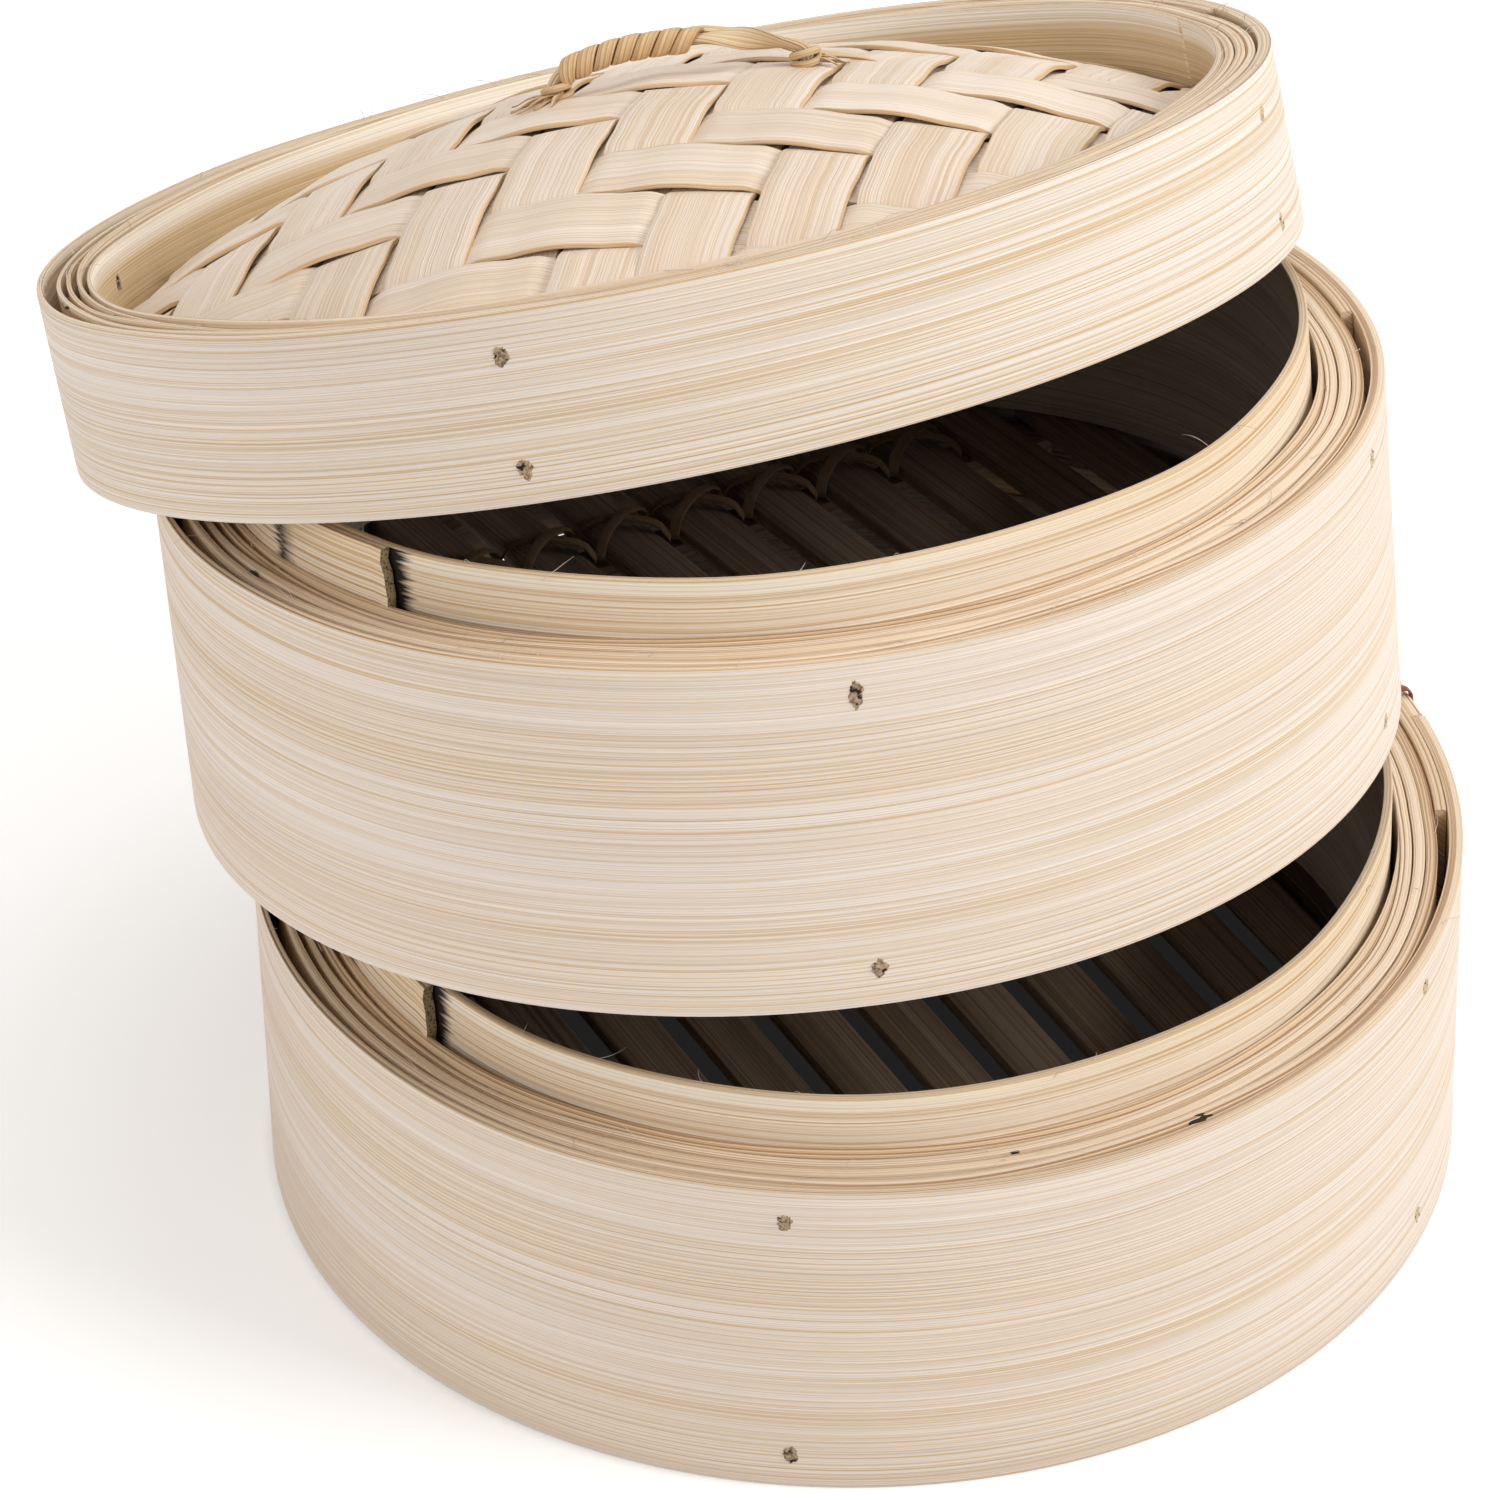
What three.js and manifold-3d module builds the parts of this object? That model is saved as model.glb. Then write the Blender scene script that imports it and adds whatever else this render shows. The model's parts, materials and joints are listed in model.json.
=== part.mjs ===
// Two-tier bamboo steamer basket with a woven, domed lid, shown ajar as it is displayed.
// Millimetres, +Z up. The origin is the middle of the footprint box, on the table.
import * as THREE from 'three';
import { mergeVertices } from 'three/addons/utils/BufferGeometryUtils.js';
import Module from 'manifold-3d';

// Basket tiers
const tierOuterRadius = 100;
const tierWallHeight = 59;
const tierStripThickness = 1.6;
const outerHoopThickness = 1.9;
const windingTurns = 3;
const layerGap = 0.3;
const collarThickness = 1.5;
const collarLap = 20;
const collarRise = 9.6;
const collarNestingGap = 1.1;
const jointOpening = 0.8;

// Basket floors
const floorRingHeight = 5;
const floorRingThickness = 4.2;
const slatCount = 12;
const slatSpacing = 3.5;
const slatEdgeRoom = 8.55;
const slatThickness = 3;
const slatRounding = 0.5;
const slatAzimuth = -63;
const braceWidth = 8;
const braceThickness = 3;
const braceOffset = 48;
const lashingRadius = 0.8;
const lashingArch = 1.6;

// Pegs through the walls
const pegRadius = 1.5;
const pegProud = 0.2;
const tierPegTop = 5.6;
const tierPegBottom = 6.5;
const lidPegTop = 6.6;
const lidPegBottom = 5.7;
const lowerPegAzimuths = { front: -97, right: -24 };
const upperPegAzimuths = { front: -82, right: -16 };
const lidPegAzimuths = { front: -101, right: -15 };

// Lid
const lidOuterRadius = 102.5;
const lidWallHeight = 30;
const lidStripThickness = 1.48;
const domeEdgeDrop = 11.5;
const domeCrownRise = 12.5;
const weaveAzimuth = -13.5;
const weavePitch = 15;
const weaveStripWidth = 13.5;
const weaveStripThickness = 1;
const weaveLayerGap = 0.4;
const warpShift = -4.5;
const weftShift = 2.5;
const domeBorderWidth = 2.3;
const matThickness = 1;
const retainingHoopHeight = 5;
const retainingHoopThickness = 2;

// Handle on the dome
const handleAzimuth = -2;
const handleLeftFoot = -13;
const handleRightFoot = 28;
const handleRise = 5.6;
const handleShoulder = 3.5;
const handleTailLength = 2.5;
const coreRadius = 1.2;
const splintHalfWidth = 2.3;
const splintHalfThickness = 0.5;
const splintTwist = 160;
const wrapThickness = 0.6;
const wrapBandWidth = 2.4;
const wrapPitch = 3.3;
const wrapTurns = 7;
const knotRadius = 0.7;

// How the pieces stand ajar: lean angle, compass direction of the lean, and shift along and across it
const upperLean = { angle: 8.9, azimuth: 113.9, along: 12.2, across: 5.4 };
const lidLean = { angle: 12.8, azimuth: 122, along: 23.6, across: 0.1 };

// Fits and facets
const clearance = 0.3;
const stepsPerTurn = 36;
const pegSides = 6;
const weldDistance = 1e-4;

const degrees = Math.PI / 180;
const fullTurn = 2 * Math.PI;
const up = new THREE.Vector3(0, 0, 1);

// Sizes that follow from those above
const tierWindingPitch = tierStripThickness + layerGap;
const tierInnerRadius = tierOuterRadius - outerHoopThickness - layerGap
  - windingTurns * tierWindingPitch - tierStripThickness;
const lidWindingPitch = lidStripThickness + layerGap;
const lidInnerRadius = lidOuterRadius - outerHoopThickness - layerGap
  - windingTurns * lidWindingPitch - lidStripThickness;
const collarOuterRadius = tierInnerRadius - collarNestingGap;
const collarTurns = 1 + collarLap / 360;
const collarPitch = collarThickness + layerGap;
const collarInnerRadius = collarOuterRadius - collarThickness - collarTurns * collarPitch;
const collarTop = tierWallHeight + collarRise;
const floorRingBottom = collarRise + 2 * clearance;
const floorRingTop = floorRingBottom + floorRingHeight;
const floorRingOuterRadius = tierInnerRadius - clearance;
const floorRingInnerRadius = floorRingOuterRadius - floorRingThickness;
const slatBottom = floorRingTop + clearance;
const slatTop = slatBottom + slatThickness;
const slatPitch = (2 * (floorRingOuterRadius - slatEdgeRoom) + slatSpacing) / slatCount;
const slatWidth = slatPitch - slatSpacing;
const collarBottom = slatTop + clearance;
const braceTop = slatBottom - clearance;
const braceBottom = braceTop - braceThickness;
const braceReach = floorRingInnerRadius - 2 * clearance;
const domeRadius = lidInnerRadius - clearance;
const domeTopAtEdge = lidWallHeight - domeEdgeDrop;
const domeTopAtCrown = lidWallHeight + domeCrownRise;
const weaveAmplitude = (weaveStripThickness + weaveLayerGap) / 2;
const weaveHalfDepth = weaveAmplitude + weaveStripThickness / 2;
const knotTop = 2 * knotRadius + 4 * clearance;
const handleLegLength = 2 * weaveHalfDepth + matThickness + handleTailLength + knotTop;

const wasm = await Module();
wasm.setup();

function bambooMaterial(color, roughness) {
  return new THREE.MeshStandardMaterial({ color, roughness, metalness: 0 });
}

const paleBamboo = () => bambooMaterial(0xe6d3b8, 0.62);
const innerBamboo = () => bambooMaterial(0xc9a873, 0.66);
const slatBamboo = () => bambooMaterial(0xb98f60, 0.7);
const wovenBamboo = () => bambooMaterial(0xe8d8c2, 0.58);
const caneHoney = () => bambooMaterial(0xd2a465, 0.5);
const pegBamboo = () => bambooMaterial(0x6b4a2c, 0.75);

// A geometry of positions only, with its shared corners welded
function weld(geometry) {
  const bare = geometry.clone();
  bare.deleteAttribute('normal');
  bare.deleteAttribute('uv');
  return mergeVertices(bare, weldDistance);
}

function toSolid(geometry) {
  const welded = weld(geometry);
  return new wasm.Manifold(new wasm.Mesh({
    numProp: 3,
    vertProperties: new Float32Array(welded.attributes.position.array),
    triVerts: new Uint32Array(welded.index.array),
  }));
}

function toGeometry(solid) {
  const mesh = solid.getMesh();
  const geometry = new THREE.BufferGeometry();
  geometry.setAttribute('position', new THREE.BufferAttribute(new Float32Array(mesh.vertProperties), 3));
  geometry.setIndex(new THREE.BufferAttribute(new Uint32Array(mesh.triVerts), 1));
  geometry.computeVertexNormals();
  return geometry;
}

function cutAway(geometry, tools) {
  let solid = toSolid(geometry);
  for (const tool of tools) {
    solid = solid.subtract(toSolid(tool));
  }
  return toGeometry(solid);
}

function addPiece(group, name, geometry, material) {
  const mesh = new THREE.Mesh(geometry, material);
  mesh.name = name;
  group.add(mesh);
  return mesh;
}

// A closed loft through rings of points: side walls between rings, and a flat fan on both ends
function loft(rings) {
  const sides = rings[0].length;
  const positions = rings.flat().flatMap((point) => [point.x, point.y, point.z]);
  const indices = [];
  for (let ring = 0; ring + 1 < rings.length; ring += 1) {
    for (let side = 0; side < sides; side += 1) {
      const a = ring * sides + side;
      const b = ring * sides + (side + 1) % sides;
      indices.push(a, b, b + sides, a, b + sides, a + sides);
    }
  }
  const last = (rings.length - 1) * sides;
  for (let side = 1; side + 1 < sides; side += 1) {
    indices.push(0, side + 1, side);
    indices.push(last, last + side, last + side + 1);
  }
  const geometry = new THREE.BufferGeometry();
  geometry.setAttribute('position', new THREE.Float32BufferAttribute(positions, 3));
  geometry.setIndex(indices);
  geometry.computeVertexNormals();
  return geometry;
}

// Bent strips share one set of corner directions, so that they nest facet to facet
function snapToCorner(azimuth) {
  const cornerStep = 360 / stepsPerTurn;
  return Math.round(azimuth / cornerStep) * cornerStep;
}

// A strip bent round the axis: its inner face starts at innerRadius and moves out by pitch each turn.
// It winds outwards anticlockwise seen from above, or clockwise with a direction of -1.
// Both ends are trimmed back by half the joint opening.
function bentStrip({ innerRadius, thickness, pitch, turns, startAzimuth, bottom, top, direction = 1 }) {
  const steps = Math.round(turns * stepsPerTurn);
  const trim = jointOpening / 2 / (innerRadius + thickness) / fullTurn;
  const outer = [];
  const inner = [];
  for (let step = 0; step <= steps; step += 1) {
    const turn = THREE.MathUtils.clamp(turns * step / steps, trim, turns - trim);
    const angle = snapToCorner(startAzimuth) * degrees + direction * turn * fullTurn;
    const radius = innerRadius + pitch * turn;
    const outward = new THREE.Vector2(Math.cos(angle), Math.sin(angle));
    inner.push(outward.clone().multiplyScalar(radius));
    outer.push(outward.clone().multiplyScalar(radius + thickness));
  }
  const outline = new THREE.Shape([...outer, ...inner.reverse()]);
  const geometry = new THREE.ExtrudeGeometry(outline, { depth: top - bottom, bevelEnabled: false });
  geometry.translate(0, 0, bottom);
  return geometry;
}

// A hoop of one turn whose ends meet in a narrow butt joint
function jointedHoop({ innerRadius, thickness, jointAzimuth, bottom, top }) {
  return bentStrip({ innerRadius, thickness, pitch: 0, turns: 1, startAzimuth: jointAzimuth, bottom, top });
}

// A round rod that points outwards along an azimuth, from one radius to another
function radialRod(radius, azimuth, height, fromRadius, toRadius) {
  const rod = new THREE.CylinderGeometry(radius, radius, toRadius - fromRadius, pegSides);
  rod.rotateZ(-Math.PI / 2);
  rod.translate((fromRadius + toRadius) / 2, 0, 0);
  rod.rotateZ(azimuth * degrees);
  rod.translate(0, 0, height);
  return rod;
}

// The peg and the hole that it needs
function makePeg({ azimuth, height, fromRadius, toRadius }) {
  const drillMargin = 5;
  return {
    peg: radialRod(pegRadius, azimuth, height, fromRadius - pegProud, toRadius + pegProud),
    drill: radialRod(pegRadius + clearance, azimuth, height, fromRadius - drillMargin, toRadius + drillMargin),
  };
}

// Points where something bears, as circles about the axis: radius and height of each circle
function bandCircles(band) {
  const steps = 6;
  const circles = [];
  for (let i = 0; i <= steps; i += 1) {
    const radius = band.inner + (band.outer - band.inner) * i / steps;
    const height = band.bottom + (band.top - band.bottom) * i / steps;
    circles.push([radius, band.bottom], [radius, band.top], [band.inner, height], [band.outer, height]);
  }
  return circles;
}

// True where a point lies inside one of the bands, each grown by the clearance
function bearsOn(bands, point) {
  const radius = Math.hypot(point.x, point.y);
  return bands.some((band) => radius > band.inner - clearance && radius < band.outer + clearance
    && point.z > band.bottom - clearance && point.z < band.top + clearance);
}

function circlePoints(bands) {
  const points = [];
  const azimuths = 180;
  for (const [radius, height] of bands.flatMap(bandCircles)) {
    for (let i = 0; i < azimuths; i += 1) {
      const angle = fullTurn * i / azimuths;
      points.push(new THREE.Vector3(radius * Math.cos(angle), radius * Math.sin(angle), height));
    }
  }
  return points;
}

// Lean a group, shift it, and let it down along the axis of the piece below until it bears
function standAjar(group, lean, upperBands, lowerBands, startHeight) {
  const leanAzimuth = lean.azimuth * degrees;
  const axis = new THREE.Vector3(-Math.sin(leanAzimuth), Math.cos(leanAzimuth), 0);
  group.quaternion.setFromAxisAngle(axis, lean.angle * degrees);
  const shift = new THREE.Vector3(lean.along, lean.across, 0).applyAxisAngle(up, leanAzimuth);
  const lowerPoints = circlePoints(lowerBands);
  const upperPoints = circlePoints(upperBands);
  const back = group.quaternion.clone().invert();
  const moved = new THREE.Vector3();
  const touches = (height) => {
    const position = new THREE.Vector3(shift.x, shift.y, height);
    return upperPoints.some((point) => bearsOn(lowerBands,
      moved.copy(point).applyQuaternion(group.quaternion).add(position)))
      || lowerPoints.some((point) => bearsOn(upperBands,
        moved.copy(point).sub(position).applyQuaternion(back)));
  };
  const coarse = 1;
  let clear = startHeight;
  while (!touches(clear - coarse)) {
    clear -= coarse;
  }
  let blocked = clear - coarse;
  const fine = 0.01;
  while (clear - blocked > fine) {
    const middle = (clear + blocked) / 2;
    if (touches(middle)) {
      blocked = middle;
    } else {
      clear = middle;
    }
  }
  group.position.set(shift.x, shift.y, clear);
}

const tierWallBand = { inner: tierInnerRadius, outer: tierOuterRadius, bottom: 0, top: tierWallHeight };
const collarBand = { inner: collarInnerRadius, outer: collarOuterRadius, bottom: collarBottom, top: collarTop };
const floorBand = { inner: 0, outer: floorRingOuterRadius, bottom: floorRingBottom, top: slatTop };
const lidWallBand = { inner: lidInnerRadius, outer: lidOuterRadius, bottom: 0, top: lidWallHeight };

// Floor slat: long strip with its ends cut to the round wall and its long edges rounded over
function slatGeometry(offset) {
  const endRadius = floorRingOuterRadius - slatRounding;
  const left = offset - slatWidth / 2 + slatRounding;
  const right = offset + slatWidth / 2 - slatRounding;
  const reach = (across) => Math.sqrt(endRadius ** 2 - across ** 2);
  const outline = new THREE.Shape([
    new THREE.Vector2(left, -reach(left)),
    new THREE.Vector2(right, -reach(right)),
    new THREE.Vector2(right, reach(right)),
    new THREE.Vector2(left, reach(left)),
  ]);
  const geometry = new THREE.ExtrudeGeometry(outline, {
    depth: slatThickness - 2 * slatRounding,
    bevelSize: slatRounding,
    bevelThickness: slatRounding,
    bevelSegments: 1,
  });
  geometry.translate(0, 0, slatBottom + slatRounding);
  return geometry;
}

// Half the length of a brace along its side at this distance from the middle of the floor
function braceHalfLength(side) {
  return Math.sqrt(braceReach ** 2 - side ** 2);
}

// Cross strip under the slats, cut to fit inside the floor ring
function braceGeometry(offset) {
  const outerSide = Math.abs(offset) + braceWidth / 2;
  const innerSide = Math.abs(offset) - braceWidth / 2;
  const outline = new THREE.Shape([
    new THREE.Vector2(-braceHalfLength(innerSide), innerSide),
    new THREE.Vector2(braceHalfLength(innerSide), innerSide),
    new THREE.Vector2(braceHalfLength(outerSide), outerSide),
    new THREE.Vector2(-braceHalfLength(outerSide), outerSide),
  ]);
  const geometry = new THREE.ExtrudeGeometry(outline, { depth: braceThickness, bevelEnabled: false });
  geometry.rotateZ(offset > 0 ? 0 : Math.PI);
  geometry.translate(0, 0, braceBottom);
  return geometry;
}

// Middles of the gaps between slats that lie over the whole width of a brace
function lashedGaps() {
  const gaps = [];
  for (let index = 1; index < slatCount; index += 1) {
    gaps.push((index - slatCount / 2) * slatPitch);
  }
  const halfLength = braceHalfLength(braceOffset + braceWidth / 2) - lashingRadius;
  return gaps.filter((gap) => Math.abs(gap) < halfLength);
}

// Points of the cane that binds the slats to one brace: over a slat, down a gap, back under the brace.
// The run on the front brace ends in a gap, from where the cane crosses to the run on the back brace.
function lashingRun(braceAt, gaps) {
  const reach = braceWidth / 2 + lashingRadius + 3 * clearance;
  const overTop = slatTop + lashingRadius + 2 * clearance;
  const inGap = (slatTop + braceBottom) / 2;
  const underBrace = braceBottom - lashingRadius - 2 * clearance;
  const shoulder = lashingRadius;
  const easing = 3 * lashingRadius;
  const isFront = braceAt < 0;
  const points = [];
  for (let slat = 0; slat + 1 < gaps.length; slat += 1) {
    const gap = gaps[slat];
    const nextGap = gaps[slat + 1];
    const arrives = slat === 0 && !isFront;
    const leaves = slat + 2 === gaps.length && isFront;
    if (arrives) {
      points.push(new THREE.Vector3(gap, braceAt - reach - 2 * easing, inGap));
    }
    points.push(
      new THREE.Vector3(gap, braceAt - reach - (arrives ? easing : 0), inGap),
      new THREE.Vector3(gap, braceAt - reach, overTop - shoulder),
      new THREE.Vector3((gap + nextGap) / 2, braceAt, overTop + lashingArch),
      new THREE.Vector3(nextGap, braceAt + reach, overTop - shoulder),
      new THREE.Vector3(nextGap, braceAt + reach + (leaves ? easing : 0), inGap),
    );
    if (leaves) {
      points.push(new THREE.Vector3(nextGap, braceAt + reach + 2 * easing, inGap));
    } else {
      points.push(
        new THREE.Vector3(nextGap, braceAt + reach, underBrace + shoulder),
        new THREE.Vector3(nextGap, braceAt + reach - shoulder, underBrace),
        new THREE.Vector3(nextGap, braceAt - reach + shoulder, underBrace),
        new THREE.Vector3(nextGap, braceAt - reach, underBrace + shoulder),
      );
    }
  }
  return points;
}

// Least distance between stretches of a tube that are more than one step apart, less its thickness
function leastSelfGap(name, curve, steps, radius, skip) {
  const points = curve.getSpacedPoints(steps);
  let least = Infinity;
  for (let i = 0; i < points.length; i += 1) {
    for (let j = i + skip; j < points.length; j += 1) {
      least = Math.min(least, points[i].distanceTo(points[j]));
    }
  }
  console.log(`${name}: least gap to itself ${(least - 2 * radius).toFixed(2)} mm`);
}

function lashingGeometry(name) {
  const gaps = lashedGaps();
  const points = [...lashingRun(-braceOffset, gaps), ...lashingRun(braceOffset, gaps.toReversed())];
  const curve = new THREE.CatmullRomCurve3(points, false, 'centripetal');
  const sides = 5;
  const stepsPerSlat = 10;
  const steps = 2 * (gaps.length - 1) * stepsPerSlat;
  curve.arcLengthDivisions = 10 * steps;
  leastSelfGap(name, curve, steps * 3, lashingRadius, 8);
  const section = new THREE.Shape();
  for (let side = 0; side < sides; side += 1) {
    const angle = fullTurn * side / sides;
    const corner = [lashingRadius * Math.cos(angle), lashingRadius * Math.sin(angle)];
    if (side === 0) {
      section.moveTo(...corner);
    } else {
      section.lineTo(...corner);
    }
  }
  return new THREE.ExtrudeGeometry(section, { steps, extrudePath: curve, bevelEnabled: false });
}

function buildFloor(tier, prefix) {
  const floor = new THREE.Group();
  floor.rotation.z = (slatAzimuth + 90) * degrees;
  tier.add(floor);
  for (let index = 0; index < slatCount; index += 1) {
    const offset = (index - (slatCount - 1) / 2) * slatPitch;
    const number = String(index + 1).padStart(2, '0');
    addPiece(floor, `${prefix}_slat_${number}`, slatGeometry(offset), slatBamboo());
  }
  addPiece(floor, `${prefix}_brace_back`, braceGeometry(braceOffset), slatBamboo());
  addPiece(floor, `${prefix}_brace_front`, braceGeometry(-braceOffset), slatBamboo());
  addPiece(floor, `${prefix}_floor_lashing`, lashingGeometry(`${prefix}_floor_lashing`), caneHoney());
}

function buildTier(prefix, pegAzimuths, jointAzimuths) {
  const tier = new THREE.Group();
  const highPeg = tierWallHeight - tierPegTop;
  const drills = [];
  const collarStart = snapToCorner(jointAzimuths.collarLap) - collarLap;
  for (const [side, azimuth] of Object.entries(pegAzimuths)) {
    const collarFace = collarInnerRadius + collarPitch * (azimuth - collarStart) / 360;
    const high = makePeg({ azimuth, height: highPeg, fromRadius: collarFace, toRadius: tierOuterRadius });
    const low = makePeg({ azimuth, height: tierPegBottom, fromRadius: tierInnerRadius, toRadius: tierOuterRadius });
    addPiece(tier, `${prefix}_peg_${side}_high`, high.peg, pegBamboo());
    addPiece(tier, `${prefix}_peg_${side}_low`, low.peg, pegBamboo());
    drills.push(high.drill, low.drill);
  }
  const collar = bentStrip({
    innerRadius: collarInnerRadius,
    thickness: collarThickness,
    pitch: collarPitch,
    turns: collarTurns,
    startAzimuth: collarStart,
    bottom: collarBottom,
    top: collarTop,
  });
  const winding = bentStrip({
    innerRadius: tierInnerRadius,
    thickness: tierStripThickness,
    pitch: tierWindingPitch,
    turns: windingTurns,
    direction: -1,
    startAzimuth: jointAzimuths.winding,
    bottom: 0,
    top: tierWallHeight,
  });
  const outerHoop = jointedHoop({
    innerRadius: tierOuterRadius - outerHoopThickness,
    thickness: outerHoopThickness,
    jointAzimuth: jointAzimuths.outer,
    bottom: 0,
    top: tierWallHeight,
  });
  const floorRing = jointedHoop({
    innerRadius: floorRingInnerRadius,
    thickness: floorRingThickness,
    jointAzimuth: jointAzimuths.floorRing,
    bottom: floorRingBottom,
    top: floorRingTop,
  });
  addPiece(tier, `${prefix}_collar_hoop`, cutAway(collar, drills), innerBamboo());
  addPiece(tier, `${prefix}_wall_winding`, cutAway(winding, drills), paleBamboo());
  addPiece(tier, `${prefix}_outer_hoop`, cutAway(outerHoop, drills), paleBamboo());
  addPiece(tier, `${prefix}_floor_ring`, floorRing, innerBamboo());
  buildFloor(tier, prefix);
  return tier;
}

// Height of the middle of the weave over the lid's bottom edge
function domeMiddle(x, y) {
  const share = (x ** 2 + y ** 2) / domeRadius ** 2;
  const top = domeTopAtCrown + (domeTopAtEdge - domeTopAtCrown) * share;
  return top - weaveHalfDepth;
}

// In the 2/2 twill a warp strip lies over two wefts, then under two, one weft further on for each warp
function warpIsOver(warp, weft) {
  const place = (((weft - warp) % 4) + 4) % 4;
  return place === 1 || place === 2;
}

// One woven strip: across is its fixed side offset, isOver tells whether it is on top at a crossing
function wovenStrip(across, crossShift, isOver, placePoint) {
  const reach = domeRadius + weavePitch;
  const first = Math.ceil((-reach - crossShift) / weavePitch);
  const last = Math.floor((reach - crossShift) / weavePitch);
  const rings = [];
  const addRing = (along, level) => {
    const corners = [[-1, -1], [1, -1], [1, 1], [-1, 1]];
    rings.push(corners.map(([side, face]) => {
      const point = placePoint(along, across + side * weaveStripWidth / 2);
      const height = domeMiddle(point.x, point.y) + level + face * weaveStripThickness / 2;
      return new THREE.Vector3(point.x, point.y, height);
    }));
  };
  for (let crossing = first; crossing <= last; crossing += 1) {
    const level = isOver(crossing) ? weaveAmplitude : -weaveAmplitude;
    const centre = crossShift + crossing * weavePitch;
    const turnsBefore = crossing === first || isOver(crossing - 1) !== isOver(crossing);
    const turnsAfter = crossing === last || isOver(crossing + 1) !== isOver(crossing);
    if (turnsBefore) {
      addRing(centre - weaveStripWidth / 2, level);
    }
    if (turnsAfter) {
      addRing(centre + weaveStripWidth / 2, level);
    } else {
      addRing(centre + weavePitch / 2, level);
    }
  }
  return rings;
}

// Stands a turned shape of the dome upright, with its corners in line with those of the lid's wall
function alignWithWall(geometry) {
  geometry.rotateX(Math.PI / 2);
  geometry.rotateZ(-weaveAzimuth * degrees);
  return geometry;
}

function latheBand(points) {
  const outline = points.map(([radius, height]) => new THREE.Vector2(radius, height));
  return alignWithWall(new THREE.LatheGeometry([...outline, outline[0]], stepsPerTurn));
}

// All strips of the weave, cut round and caught in their border
function weaveGeometry(holes) {
  const strips = [];
  const lastStrip = Math.ceil(domeRadius / weavePitch);
  for (let index = -lastStrip; index <= lastStrip; index += 1) {
    const warp = wovenStrip(
      warpShift + index * weavePitch,
      weftShift,
      (weft) => warpIsOver(index, weft),
      (along, across) => new THREE.Vector2(across, along),
    );
    const weft = wovenStrip(
      weftShift + index * weavePitch,
      warpShift,
      (warpIndex) => !warpIsOver(warpIndex, index),
      (along, across) => new THREE.Vector2(along, across),
    );
    strips.push(loft(warp.map((ring) => ring.reverse())), loft(weft));
  }
  const borderInner = domeRadius - domeBorderWidth;
  const cropRadius = domeRadius - domeBorderWidth / 2;
  const crop = new THREE.CylinderGeometry(cropRadius, cropRadius, 4 * domeTopAtCrown, stepsPerTurn);
  alignWithWall(crop);
  const border = latheBand([
    [borderInner, domeMiddle(borderInner, 0) - weaveHalfDepth],
    [domeRadius, domeMiddle(domeRadius, 0) - weaveHalfDepth],
    [domeRadius, domeMiddle(domeRadius, 0) + weaveHalfDepth],
    [borderInner, domeMiddle(borderInner, 0) + weaveHalfDepth],
  ]);
  const cropSolid = toSolid(crop);
  let weave = toSolid(border);
  for (const strip of strips) {
    weave = weave.add(toSolid(strip).intersect(cropSolid));
  }
  for (const hole of holes) {
    weave = weave.subtract(toSolid(hole));
  }
  return toGeometry(weave);
}

// Thin mat under the weave
function matGeometry(holes) {
  const under = weaveHalfDepth + clearance;
  const rings = 5;
  const topFace = [];
  const underFace = [];
  for (let ring = 0; ring <= rings; ring += 1) {
    const radius = domeRadius * ring / rings;
    const height = domeMiddle(radius, 0) - under;
    topFace.push(new THREE.Vector2(radius, height));
    underFace.push(new THREE.Vector2(radius, height - matThickness));
  }
  const geometry = new THREE.LatheGeometry([...underFace, ...topFace.reverse()], stepsPerTurn);
  return cutAway(alignWithWall(geometry), holes);
}

// Middle line of the handle: up out of the dome, a low arch, and down into the dome again
function handleCurve() {
  const crownAt = (along) => domeMiddle(along, 0) + weaveHalfDepth;
  const aboveKnot = (along) => crownAt(along) + knotTop;
  const below = (along) => aboveKnot(along) - handleLegLength;
  const nearTop = 0.85 * handleRise;
  const nearKnot = 0.3 * handleRise;
  const points = [
    [handleLeftFoot, below(handleLeftFoot)],
    [handleLeftFoot, crownAt(handleLeftFoot)],
    [handleLeftFoot, aboveKnot(handleLeftFoot)],
    [handleLeftFoot + handleShoulder, crownAt(handleLeftFoot) + nearTop],
    [(handleLeftFoot * 2 + handleRightFoot) / 3, crownAt(0) + handleRise],
    [(handleLeftFoot + handleRightFoot * 2) / 3, crownAt(0) + nearTop],
    [handleRightFoot - handleShoulder, aboveKnot(handleRightFoot) + nearKnot],
    [handleRightFoot, aboveKnot(handleRightFoot)],
    [handleRightFoot, crownAt(handleRightFoot)],
    [handleRightFoot, below(handleRightFoot)],
  ];
  return new THREE.CatmullRomCurve3(points.map(([x, z]) => new THREE.Vector3(x, 0, z)), false, 'centripetal');
}

// Frame of the flat handle curve: along, upright and sideways
function handleFrame(curve, share) {
  const tangent = curve.getTangentAt(share);
  const sideways = new THREE.Vector3(0, 1, 0);
  return { point: curve.getPointAt(share), tangent, sideways, upright: sideways.clone().cross(tangent).negate() };
}

// Where the wrap starts and ends, and where the bare splint ends, as shares of the curve's length
function handleSpans(curve) {
  const length = curve.getLength();
  const wrapStart = handleLegLength / length;
  const wrapEnd = wrapStart + (wrapTurns * wrapPitch + wrapBandWidth) / length;
  return { wrapStart, wrapEnd, splintEnd: 1 - handleLegLength / length };
}

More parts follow.
